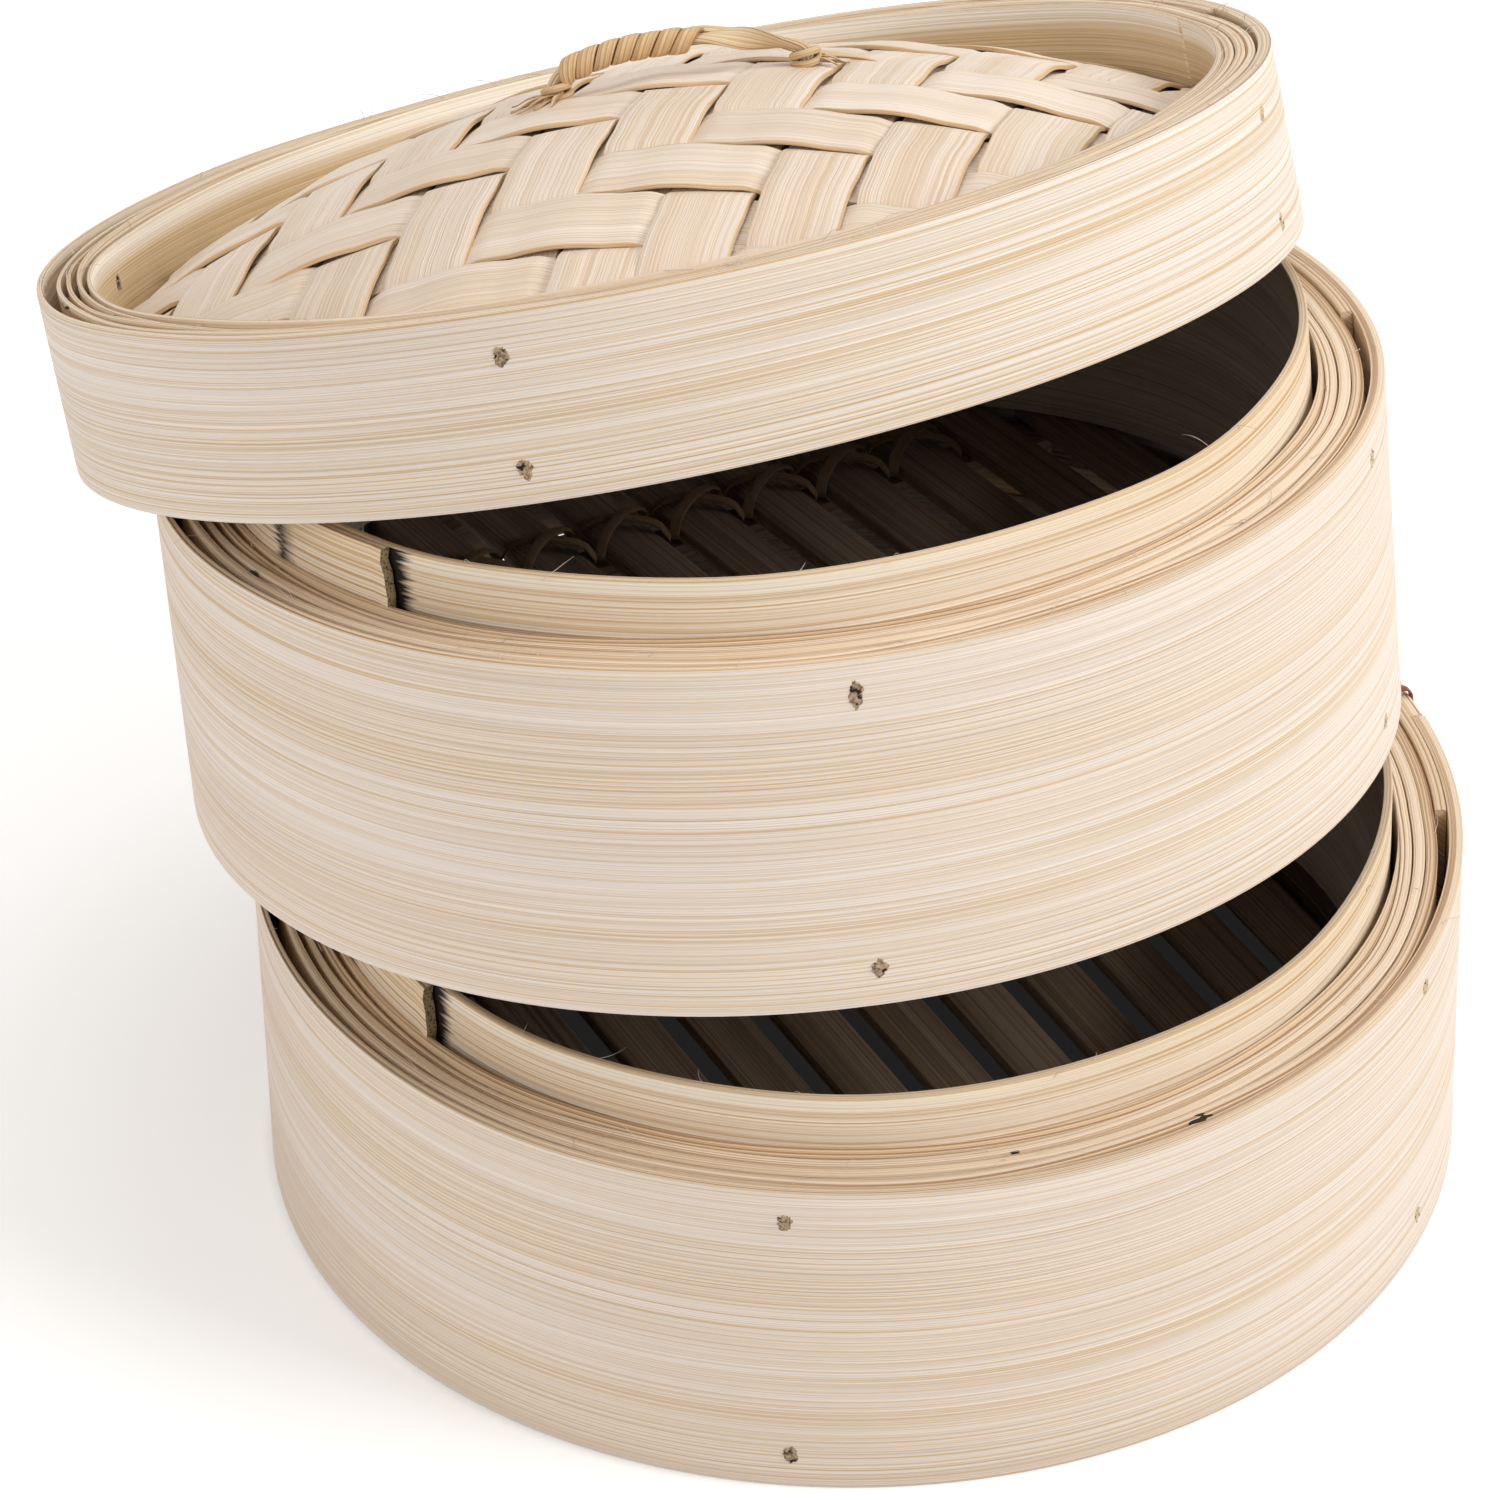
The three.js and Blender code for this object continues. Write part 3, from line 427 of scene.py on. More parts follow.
def make_materials():
    return {
        # Outer bamboo of the tiers, planed to the pale core: satin, with fine straight honey fibres
        "pale": bamboo("planed_outer_bamboo", "#EFE5DC", "#EADCCE", "#D5B27C", 0.55, 0.65, 0.85),
        # Outer bamboo of the lid, scraped less: more and stronger honey fibres
        "pale_lid": bamboo("scraped_lid_bamboo", "#EFE5DC", "#EBE0D4", "#D2B17E", 0.55, 0.8, 0.8),
        # Faces of the windings behind it, a shade warmer
        "rim": bamboo("wound_bamboo", "#ECDCC6", "#E4D0B4", "#C4A173", 0.6),
        # Cut upper and lower edges of the wound strips: honey, split into thin layers
        "cut": bamboo("cut_rim_bamboo", "#F0E0CD", "#E6D1B6", "#AE8A64", 0.65, 1.0, 0.75),
        # Collars, a shade warmer than the outside, with strong fibres and with painted shade beside the
        # lapped end and in a split
        "collar": bamboo("bent_collar_bamboo", "#F2E6D4", "#EAD8BD", "#CBA671", 0.58, 0.85, marks=painted_lap_shadows),
        # Inner faces of the tiers: greyer and darker than the outside, painted shade for the dark interior
        "inner": bamboo("inner_bamboo_painted_shade", "#C6BAAE", "#BBAEA0", "#9F9080", 0.7, 0.6),
        # Inner face of the lid over the dome: cream by the rim, tan farther down
        "lid_inner": bamboo("cream_inner_bamboo", "#FCF6EC", "#F7EEDF", "#DEC8A4", 0.6, 0.5, marks=tan_towards_bottom),
        # Floor slats and braces, split bamboo browned by use
        "slat": bamboo("split_slat_bamboo", "#A08D79", "#8D7A67", "#6C5B49", 0.66),
        # Woven strips: thin and pale, with honey edges
        "weave": bamboo("woven_strip_bamboo", "#EEDFD0", "#E7D5C1", "#D3B48A", 0.5, 0.55, 0.7,
                        ("#D4B488", 0.965)),
        # Thin mat under the weave
        "mat": bamboo("thin_mat_bamboo", "#8A6F50", "#776045", "#5F4A33", 0.75),
        # Split cane with its skin on, glossy honey
        "cane": bamboo("split_cane_skin", "#E0C198", "#D2AE80", "#B28D60", 0.45, 0.8, 0.6, ("#A47C50", 0.85)),
        # Cane under the floors, browned as the slats are
        "floor_cane": bamboo("browned_floor_cane", "#A08768", "#8B7356", "#6C573F", 0.68, 0.8, 0.5,
                             ("#6C573F", 0.7)),
        # The handle's splint and second strand: the same cane without its skin, dull and darker
        "splint": bamboo("scraped_handle_splint", "#E2CBA8", "#D2B48A", "#9C7A54", 0.6, 1.0, 1.0,
                         ("#B08A5C", 0.85)),
        # Torn ends of the pegs: grey-brown cores, partly in dark crevices of painted shade
        "peg": torn_end("torn_peg_end", "#B8A084", "#75624C", "#221A14"),
        # Ends of the right pegs: cut flush and pale, with paler painted shade in their crevices
        "pale_peg": torn_end("cut_peg_end", "#D4BE9F", "#AD9676", "#77624A"),
        # Sawn end of the collar: porous grey-brown
        "sawn_end": end_grain("sawn_bamboo_end", "#A3926F", "#5B4F37"),
        # Knots at the rims: almost black
        "knot": end_grain("dark_bamboo_knot", "#3A2E22", "#1B1510"),
        # Stitches of dyed, glossy cane
        "stitch": bamboo("dyed_stitch_cane", "#97503E", "#87412F", "#6A2E22", 0.32, 0.7, 0.4),
    }


MATERIALS = make_materials()

# Strips


def draw_out(bm, length, steps):
    """Draws a closed section out along X into a solid."""
    section = bm.verts[:] + bm.edges[:] + bm.faces[:]
    step = (length / steps, 0, 0)
    bmesh.ops.spin(bm, geom=section, cent=(0, 0, 0), axis=UP, dvec=step, angle=0, steps=steps)
    bmesh.ops.recalc_face_normals(bm, faces=bm.faces[:])


def lay_maps(bm, strip_place, share_place=lambda x, y, z: (0.5, 0.5)):
    """Each corner's place on the strip, in metres, and its shares of the strip's length and width."""
    strip_map = bm.loops.layers.uv.new("strip")
    share_map = bm.loops.layers.uv.new("share")
    for face in bm.faces:
        for loop in face.loops:
            loop[strip_map].uv = strip_place(*loop.vert.co)
            loop[share_map].uv = share_place(*loop.vert.co)


def straight_strip(length, width, thickness, steps, cuts=0, rounding=STRIP_ROUNDING, seed=0.0):
    """A straight strip along X, its thickness from 0 along Y and its width from 0 up Z, with its own maps."""
    bm = bmesh.new()
    corners = [(0, 0, 0), (0, thickness, 0), (0, thickness, width), (0, 0, width)]
    bm.faces.new([bm.verts.new(corner) for corner in corners])
    bmesh.ops.bevel(bm, geom=bm.verts[:], offset=rounding, segments=2, profile=0.5, affect="VERTICES",
                    material=-1)
    if cuts:
        long_edges = [edge for edge in bm.edges if edge.calc_length() > width / 2]
        bmesh.ops.subdivide_edges(bm, edges=long_edges, cuts=cuts)
    draw_out(bm, length, steps)
    lay_maps(bm, lambda x, y, z: (x + seed, z + y), lambda x, y, z: (x / length, z / width))
    return bm


def round_strand(length, radius, steps, sides, seed):
    """A straight round strand along X with its own maps."""
    bm = bmesh.new()
    bmesh.ops.create_circle(bm, cap_ends=True, segments=sides, radius=radius)
    bm.transform(Matrix.Rotation(math.radians(90), 4, "Y"))
    draw_out(bm, length, steps)
    lay_maps(bm, lambda x, y, z: (x + seed, (math.atan2(z, y) + math.pi) * STRAND_GRAIN))
    return bm


def reshape(bm, place, length=1.0):
    """Moves every point of a strip that was made one metre long, and puts its real length on its map."""
    for vertex in bm.verts:
        vertex.co = place(*vertex.co)
    strip_map = bm.loops.layers.uv["strip"]
    for face in bm.faces:
        for loop in face.loops:
            loop[strip_map].uv.x *= length
    bmesh.ops.recalc_face_normals(bm, faces=bm.faces[:])
    return bm


def paint_side(bm, toward, index, up_to=math.inf):
    """Faces that look toward this side get the material with this index, up to this length of the strip."""
    for face in bm.faces:
        if face.normal.dot(toward) > 0.8 and face.calc_center_median().x < up_to:
            face.material_index = index


def smooth_step(low, high, value):
    share = min(max((value - low) / (high - low), 0), 1)
    return share * share * (3 - 2 * share)


def wander(angle, seed, rate=1.5):
    """A slow, closed waver round a hoop, from -1 to 1."""
    return noise.noise(Vector((math.cos(angle) * rate, math.sin(angle) * rate, seed))) * 2


def fray_ends(bm, length, depth, seed):
    """Splinters both ends of a straight strip: coarse waves about 9 mm apart and fine ones about 1.5 mm."""
    for vertex in bm.verts:
        if min(vertex.co.x, length - vertex.co.x) < 0.0001 * length:
            height = vertex.co.z
            coarse = noise.noise(Vector((seed, height * 110, 0)))
            fine = noise.noise(Vector((seed, height * 700, 4)))
            vertex.co.x += depth * (1.4 * coarse + 0.7 * fine)


def join(parts):
    """One bmesh from several."""
    whole = bmesh.new()
    for part in parts:
        mesh = bpy.data.meshes.new("part")
        part.to_mesh(mesh)
        part.free()
        whole.from_mesh(mesh)
        bpy.data.meshes.remove(mesh)
    return whole


def make_piece(name, bm, body, materials, replaced=(), sharp=25):
    """An object from a bmesh in the body's own axes, put in place and riding on it."""
    bm.normal_update()
    for face in bm.faces:
        face.smooth = True
    for edge in bm.edges:
        edge.smooth = edge.is_manifold and edge.calc_face_angle(0) < math.radians(sharp)
    bm.transform(PLACES[body])
    mesh = bpy.data.meshes.new(name)
    bm.to_mesh(mesh)
    bm.free()
    piece = bpy.data.objects.new(name, mesh)
    bpy.context.scene.collection.objects.link(piece)
    for material in materials:
        mesh.materials.append(MATERIALS[material])
    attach(piece, body)
    if replaced:
        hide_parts(*replaced)
    return piece


def hoop_strip(ring, start, seed, turns=CLOSED_TURN, growth=0.0, climb=1.0, direction=1, thickness=None,
               cuts=6, spread=0.05 * MM, uneven=RIM_UNEVENNESS, frayed=0.25 * MM, slack=0.0, slack_from=0.0,
               end_swell=0.0, end_lift=0.0, draw_in=None):
    """A strip bent into a hoop that fills a ring.

    It moves out by growth in the last share of each turn, the climb, and what lies before its first turn is
    thinned to a scarf. Its top can be drawn in toward a collar.
    """
    thickness = thickness or ring.outer - ring.inner
    length = FULL_TURN * turns * (ring.inner + growth * turns / 2 + thickness / 2)
    steps = round(HOOP_STEPS_PER_TURN * turns)
    bm = straight_strip(length, ring.height, thickness, steps, cuts, seed=seed)
    paint_side(bm, Vector((0, -1, 0)), 1, length / max(turns, 1))
    paint_side(bm, Vector((1, 0, 0)), 2)
    paint_side(bm, UP, 3)
    fray_ends(bm, length, frayed, seed)
    for vertex in bm.verts:
        x, y, z = vertex.co
        turn = turns * x / length - (climb if climb < 1 else 0)
        layer = turn - turn % 1 + max(0, (turn % 1 - 1 + climb) / climb)
        y *= max(SCARF_SHARE, 1 + min(layer, 0))
        angle = math.radians(start) + direction * FULL_TURN * turn
        y += (slack_from * thickness - y) * slack * max(0, math.cos(angle - SLACK_SIDE)) ** 3
        y *= 1 + end_swell * smooth_step(length - COLLAR_SWELL_LENGTH, length, x)
        lift = end_lift * smooth_step(length - COLLAR_LIFT_LENGTH, length, x)
        outward = growth * max(layer, 0) + y
        inmost = max(0, 1 - outward / (ring.outer - ring.inner))
        drawn = draw_in(angle) * inmost * smooth_step(*DRAWN_HEIGHTS, z / ring.height) if draw_in else 0
        radius = ring.inner + outward - drawn + lift + spread * wander(angle, seed + 1.7 * turn)
        rise = uneven * wander(angle, seed + 9 + 1.3 * turn, 2.2) * z / ring.height
        vertex.co = (radius * math.cos(angle), radius * math.sin(angle), ring.bottom + z + rise)
    bmesh.ops.recalc_face_normals(bm, faces=bm.faces[:])
    return bm


# Walls of a tier or of the lid


def collar_growth(ring):
    """How far a collar moves out in one turn."""
    return (ring.outer - ring.inner - COLLAR_THICKNESS) / COLLAR_TURNS


def draw_to_collar(body, winding_inner):
    """How far a winding's top is drawn in, as a function of the azimuth."""
    ring = Ring(body, "_collar_hoop")
    end = math.radians(COLLAR_END[body])
    growth = collar_growth(ring)

    def draw_in(angle):
        past_end = (angle - end) % FULL_TURN
        turns = past_end / FULL_TURN + COLLAR_TURNS - 1
        room = winding_inner - (ring.inner + growth * turns + COLLAR_THICKNESS) - COLLAR_CLEARANCE
        closed = smooth_step(*DRAWN_CLOSE, past_end) * (1 - smooth_step(*DRAWN_OPEN, past_end))
        return DRAW_IN + (room - DRAW_IN) * closed

    return draw_in


def make_wall(body, outer_finish, inner_finish):
    prefix = PREFIX[body]
    winding = Ring(body, "_wall_winding")
    outer = Ring(body, "_outer_hoop")
    pitch = (outer.inner - winding.inner) / WINDING_LAYERS
    start = WINDING_ENDS[body] - 360 * WINDING_CLIMB
    draw_in = draw_to_collar(body, winding.inner) if body in COLLAR_END else None
    coil = hoop_strip(winding, start, 1.7, WINDING_LAYERS, pitch, WINDING_CLIMB, -1, pitch * WINDING_FILL,
                      cuts=5, spread=WINDING_SPREAD, frayed=0.5 * MM, slack=SLACK, draw_in=draw_in)
    make_piece(prefix + "_wound_strips", coil, body, ["rim", inner_finish, "cut", "cut"],
               [prefix + "_wall_winding"])
    skin = hoop_strip(outer, OUTER_JOINT[body], 3.3, cuts=10, spread=0.08 * MM, frayed=0.3 * MM,
                      uneven=0.2 * MM, slack=SLACK, slack_from=1.0)
    make_piece(prefix + "_outer_strip", skin, body, [outer_finish, "rim", "cut", "cut"],
               [prefix + "_outer_hoop"])
    stitches = join([stitch(outer, OUTER_JOINT[body] + offset, offset) for offset in STITCH_OFFSETS])
    make_piece(prefix + "_rim_stitches", stitches, body, ["stitch"])
    knots = join([rim_knot(*knot, outer.top) for knot in RIM_KNOTS[body]])
    make_piece(prefix + "_rim_knots", knots, body, ["knot"])
    fibres = rim_fibres(FIBRES_PER_RIM, winding.inner, outer.outer, outer.top)
    make_piece(prefix + "_rim_fibres", fibres, body, ["pale"])


def make_collar(body):
    """One strip bent once round and lapped over itself, its sawn outer end standing off a little."""
    prefix = PREFIX[body]
    ring = Ring(body, "_collar_hoop")
    collar = hoop_strip(ring, COLLAR_END[body] - COLLAR_LAP, 5.1, COLLAR_TURNS, collar_growth(ring),
                        thickness=COLLAR_THICKNESS, cuts=24, frayed=1.1 * MM, end_swell=COLLAR_END_SWELL,
                        end_lift=COLLAR_END_LIFT)
    make_piece(prefix + "_lapped_collar", collar, body, ["collar", "inner", "sawn_end", "cut"],
               [prefix + "_collar_hoop"])
    fibres = rim_fibres(FIBRES_PER_COLLAR, ring.inner, ring.outer, ring.top)
    make_piece(prefix + "_collar_fibres", fibres, body, ["pale"])


def stitch(ring, azimuth, lean):
    """Dyed cane over the top of the outer strip, up its face and down into the gap behind it."""
    reach = (ring.outer - ring.inner) / 2 + 0.1 * MM
    arch = math.pi * reach
    length = STITCH_LEG + arch + STITCH_TAIL
    middle = (ring.outer + ring.inner) / 2
    top = ring.top - 0.3 * MM

    def place(x, y, z):
        run = x * length
        if run < STITCH_LEG:
            tuck = 0.5 * MM * (1 - smooth_step(0, 1.5 * MM, run))
            radius, level = middle + reach + y - tuck, top - STITCH_LEG + run
        elif run < STITCH_LEG + arch:
            angle = (run - STITCH_LEG) / reach
            radius, level = middle + (reach + y) * math.cos(angle), top + (reach + y) * math.sin(angle)
        else:
            radius, level = middle - reach - y, top - (run - STITCH_LEG - arch)
        turn = math.radians(azimuth) + (z - STITCH_WIDTH / 2 + STITCH_LEAN * lean * x) / ring.outer
        return radius * math.cos(turn), radius * math.sin(turn), level

    bm = straight_strip(1.0, STITCH_WIDTH, STITCH_THICKNESS, 28, 1, 0.15 * MM, lean)
    return reshape(bm, place, length)


def rim_knot(azimuth, radius, size, top):
    """A dark knot or broken sliver in the top of a wound strip, long, narrow and flat."""
    bm = bmesh.new()
    bmesh.ops.create_icosphere(bm, subdivisions=3, radius=1.0)
    for vertex in bm.verts:
        vertex.co *= 1 + 0.5 * noise.noise(vertex.co * 1.6 + Vector((azimuth, 0, 0)))
    bm.transform(Matrix.Diagonal((0.6 * size * MM, 1.6 * size * MM, 0.5 * size * MM, 1)))
    bm.transform(Matrix.Translation((radius * MM, 0, top - 0.25 * MM)))
    bm.transform(Matrix.Rotation(math.radians(azimuth), 4, "Z"))
    return bm


def rim_fibres(count, inner, outer, top):
    return join([rim_fibre(inner, outer, top, number) for number in range(count)])


def rim_fibre(inner, outer, top, number):
    """A hair of bamboo that has come away from a cut edge."""
    azimuth = CHANCE.uniform(0, FULL_TURN)
    radius = CHANCE.uniform(inner + 0.4 * MM, outer - 0.3 * MM)
    heading = azimuth + CHANCE.choice((-1, 1)) * CHANCE.uniform(0.9, 2.2)
    length = CHANCE.uniform(1.5, 7) * MM
    rise = CHANCE.uniform(0.3, 2.2) * MM
    curl = CHANCE.uniform(-1.3, 1.3)
    foot = Vector((radius * math.cos(azimuth), radius * math.sin(azimuth), top - 0.4 * MM))

    def place(x, y, z):
        thin = FIBRE_RADIUS * (1 - 0.7 * x)
        angle = heading + curl * x
        out = Vector((math.cos(angle), math.sin(angle), 0))
        side = Vector((-out.y, out.x, 0))
        return foot + out * (length * x) + side * (y * thin) + UP * (rise * math.sin(2.2 * x) + z * thin)

    return reshape(round_strand(1.0, 1.0, 7, 4, number * 0.7), place, length)


def make_pegs(body):
    """The torn ends of the pegs that hold the wall together, outside and inside."""
    prefix = PREFIX[body]
    outer = Ring(body, "_outer_hoop").outer

    def ends(azimuth, height, seed, stretch=1.0):
        outside = peg_end(outer, azimuth, height * MM, seed, 1, stretch)
        return [outside, peg_end(inner_face(body, height), azimuth, height * MM, seed + 5, -1)]

    for number, (azimuth, height) in enumerate(PEGS[body]):
        name = f"{prefix}_peg_{PEG_NAMES[number]}"
        both = join(ends(azimuth, height, azimuth + number, PEG_STRETCH.get(name, 1.1)))
        finish = "peg" if "front" in name else "pale_peg"
        make_piece(name + "_ends", both, body, [finish], [name])
    back = []
    for azimuth in BACK_PEG_AZIMUTHS[body]:
        for _, height in PEGS[body][:2]:
            back += ends(azimuth, height, azimuth)
    make_piece(prefix + "_back_peg_ends", join(back), body, ["peg"])


def inner_face(body, height):
    """Radius of the innermost face at this height in millimetres on a wall."""
    if body != "lid":
        collar = Ring(body, "_collar_hoop")
        if height * MM > collar.bottom:
            return collar.inner + COLLAR_PEG_DEPTH
    return Ring(body, "_wall_winding").inner


def peg_end(radius, azimuth, height, seed, facing=1, stretch=1.0):
    """One end of a peg: a ragged patch of torn fibres, some of them standing out of the wall."""
    bm = bmesh.new()
    bmesh.ops.create_cone(bm, cap_ends=True, segments=40, radius1=PEG_RADIUS, radius2=PEG_RADIUS,
                          depth=PEG_DEPTH)
    core = [face for face in bm.faces if face.normal.z > 0.9]
    for _ in range(PEG_RINGS):
        bmesh.ops.inset_region(bm, faces=core, thickness=PEG_RING_WIDTH)
    for vertex in bm.verts:
        x, y, z = vertex.co
        share = math.hypot(x, y) / PEG_RADIUS
        ray = Vector((x, y, 0)).normalized() + Vector((0, 0, seed * 3.1))
        swell = 0.95 + 0.3 * noise.noise(ray * 1.3) + 0.25 * share * noise.noise(ray * 4.5)
        spot = Vector((x, y, seed * MM))
        torn = 0.22 * noise.noise(spot * 1300) + 0.12 * noise.noise(spot * 3400)
        torn -= 0.14 * smooth_step(0.7, 1, share)
        vertex.co = x * swell * stretch, y * swell * PEG_FLATNESS, z + torn * MM
    lay_maps(bm, lambda x, y, z: (x + seed, y))
    bm.transform(Matrix.Rotation(math.radians(90 * facing), 4, "Y"))
    bm.transform(Matrix.Translation((radius - facing * 0.2 * MM, 0, height)))
    bm.transform(Matrix.Rotation(math.radians(azimuth), 4, "Z"))
    return bm


# Floor of a tier


def make_floor(body):
    prefix = PREFIX[body]
    ring = Ring(body, "_floor_ring")
    turn = Matrix.Rotation(math.radians(SLAT_AZIMUTH + 90), 4, "Z")
    hoop = hoop_strip(ring, FLOOR_JOINT, 2.2, cuts=2, uneven=0)
    make_piece(prefix + "_floor_hoop", hoop, body, ["slat"] * 4, [prefix + "_floor_ring"])
    back = turn.inverted() @ PLACES[body].inverted()

    def node_limits(node):
        return limits([back @ point for point in node_points(node)])

    slats = [f"{prefix}_slat_{number:02d}" for number in range(1, SLATS + 1)]
    for number, node in enumerate(slats, 1):
        strip = slat(*node_limits(node), number, turn)
        make_piece(node + "_split", strip, body, ["slat"], [node])
    for side in ("back", "front"):
        node = f"{prefix}_brace_{side}"
        strip = brace(*node_limits(node), turn)
        make_piece(node + "_split", strip, body, ["slat"], [node])
    first_low, first_high = node_limits(slats[0])
    last_low, last_high = node_limits(slats[-1])
    pitch = (last_low.x + last_high.x - first_low.x - first_high.x) / 2 / (SLATS - 1)
    offsets = (BRACE_OFFSET, -BRACE_OFFSET)
    lashing = join([lashed_line(offset, first_high.z, pitch, turn) for offset in offsets])
    make_piece(prefix + "_cane_lashing", lashing, body, ["floor_cane"],
               [prefix + "_floor_lashing"])


def slat(low, high, number, turn):
    """A split slat, a little crowned and of uneven width, whose ends follow the round wall."""
    middle = (low.x + high.x) / 2
    width = high.x - low.x
    thickness = high.z - low.z
    end_radius = math.hypot(min(abs(low.x), abs(high.x)), high.y)

    def place(x, y, z):
        narrowing = 0.97 + 0.03 * noise.noise(Vector((x * 3, number, 0)))
        across = middle + (z - width / 2) * narrowing
        reach = math.sqrt(max(end_radius ** 2 - across ** 2, 0))
        sunk = SLAT_CROWN * (2 * z / width - 1) ** 2 if y > thickness / 2 else 0
        return across, (2 * x - 1) * reach, low.z + y - sunk

    bm = straight_strip(1.0, width, thickness, 24, 4, 0.6 * MM, number * 1.9)
    reshape(bm, place, 2 * end_radius)
    bm.transform(turn)
    return bm


def brace(low, high, turn):
    """A cross strip under the slats, between the limits of its node."""
    middle = (low.y + high.y) / 2
    width = high.y - low.y
    reach = math.hypot(max(abs(low.x), abs(high.x)), abs(middle) - width / 2)

    def place(x, y, z):
        across = middle + z - width / 2
        return (2 * x - 1) * math.sqrt(reach ** 2 - across ** 2), across, low.z + y

    bm = straight_strip(1.0, width, high.z - low.z, 16, 2, 0.5 * MM, abs(middle))
    reshape(bm, place, 2 * reach)
    bm.transform(turn)
    return bm


def lashed_line(offset, slat_top, pitch, turn):
    """Cane bound over the slats on one brace, two strands crossing on each gap."""
    side = BRACE_WIDTH / 2 + CANE_THICKNESS

    def strand(index, lean):
        slant = Vector((pitch / 2, lean * side)).normalized()

        def place(x, y, z):
            share = 2 * x - 1
            across = (index + 0.5) * pitch + share * pitch / 2 * 0.96
            along = offset + lean * share * side
            arch = LASHING_ARCH * max(math.cos(share * math.pi / 2), 0) ** 0.7
            drop = LASHING_DROP * max(0, abs(share) - 0.8) / 0.2
            over = LASHING_OVERLAP * (1 - share ** 2) if lean > 0 else 0
            level = slat_top + 0.15 * MM + arch - drop + over + y
            aside = z - CANE_WIDTH / 2
            return across - slant.y * aside, along + slant.x * aside, level

        cane = straight_strip(1.0, CANE_WIDTH, CANE_THICKNESS, 12, 1, 0.25 * MM, index + lean * 0.3)
        return reshape(cane, place, pitch)

    line = join([strand(index, lean) for index in LASHED_GAPS for lean in (-1, 1)])
    line.transform(turn)
    return line


# Woven dome


class Dome:
    """The middle surface of the weave, from the mat that lies under it."""

    def __init__(self):
        mat_ring = Ring("lid", "_dome_mat")
        self.radius = mat_ring.outer
        self.crown = mat_ring.top + MAT_GAP + WEAVE_HALF_DEPTH
        self.edge = mat_ring.bottom + MAT_THICKNESS + MAT_GAP + WEAVE_HALF_DEPTH

    def level(self, x, y):
        return self.crown + (self.edge - self.crown) * (x * x + y * y) / self.radius ** 2

    def top(self, x, y):
        return self.level(x, y) + WEAVE_HALF_DEPTH


def warp_is_over(warp, weft):
    """2/2 twill: over two wefts, under two, one weft further on for each warp."""
    return (weft - warp) % 4 in (1, 2)


def crimp(along, shift, is_over):
    """Level of a strip from -1 to 1, turned over in the gap between two others and arched over a float."""
    place = (along - shift) / WEAVE_PITCH
    first = math.floor(place)
    before = 1 if is_over(first) else -1
    after = 1 if is_over(first + 1) else -1
    level = before + (after - before) * smooth_step(*CRIMP_SPAN, place - first)
    if before == after == 1:
        level += FLOAT_ARCH * math.sin(math.pi * (place - first))
    return level


def woven_strip(dome, across, cross_shift, is_over, along_warp, seed):
    """One strip of the weave, cut off at the round edge, a little uneven in width, line and tilt."""
    width = WEAVE_STRIP_WIDTH * (1 + 0.05 * CHANCE.uniform(-1, 1))
    lean = math.radians(0.6) * CHANCE.uniform(-1, 1)
    tilt = 0.02 * CHANCE.uniform(-1, 1)
    edge = dome.radius - 0.6 * MM
    room = edge - abs(across)
    if room < 2 * MM:
        return None
    width_out = min(width / 2, room - 0.8 * MM)
    outward = 1 if across >= 0 else -1
    amplitude = WEAVE_HALF_DEPTH - WEAVE_STRIP_THICKNESS / 2 - 0.1 * MM

    def place(x, y, z):
        sideways = z - width / 2
        if sideways * outward > width_out:
            sideways = outward * width_out
        side = across + sideways
        along = (2 * x - 1) * math.sqrt(max(edge ** 2 - side ** 2, 0))
        side += along * lean
        ripple = 0.12 * MM * noise.noise(Vector((along * 60, side * 90, seed)))
        height = amplitude * crimp(along, cross_shift, is_over) + tilt * sideways + ripple
        height += y - WEAVE_STRIP_THICKNESS / 2
        point = (side, along) if along_warp else (along, side)
        return point[0], point[1], dome.level(*point) + height

    bm = straight_strip(1.0, width, WEAVE_STRIP_THICKNESS, 150, 5, 0.16 * MM, seed)
    return reshape(bm, place, 2 * edge)


def make_dome(dome):
    strips = []
    last = math.ceil(dome.radius / WEAVE_PITCH)
    for index in range(-last, last + 1):
        warp = woven_strip(dome, WARP_SHIFT + index * WEAVE_PITCH, WEFT_SHIFT,
                           lambda other: warp_is_over(index, other), True, index * 2.3)
        weft = woven_strip(dome, WEFT_SHIFT + index * WEAVE_PITCH, WARP_SHIFT,
                           lambda other: not warp_is_over(other, index), False, index * 3.1 + 50)
        strips += [strip for strip in (warp, weft) if strip]
    weave = join(strips)
    weave.transform(Matrix.Rotation(math.radians(WEAVE_AZIMUTH), 4, "Z"))
    make_piece("lid_woven_strips", weave, "lid", ["weave"], ["lid_dome_weave"])
    make_piece("lid_thin_mat", mat(dome), "lid", ["mat"], ["lid_dome_mat"])
    ring = Ring("lid", "_retaining_hoop")
    hoop = hoop_strip(ring, LID_HOOP_JOINT, 4.4, cuts=1, uneven=0)
    make_piece("lid_inner_hoop", hoop, "lid", ["lid_inner"] * 4, ["lid_retaining_hoop"])


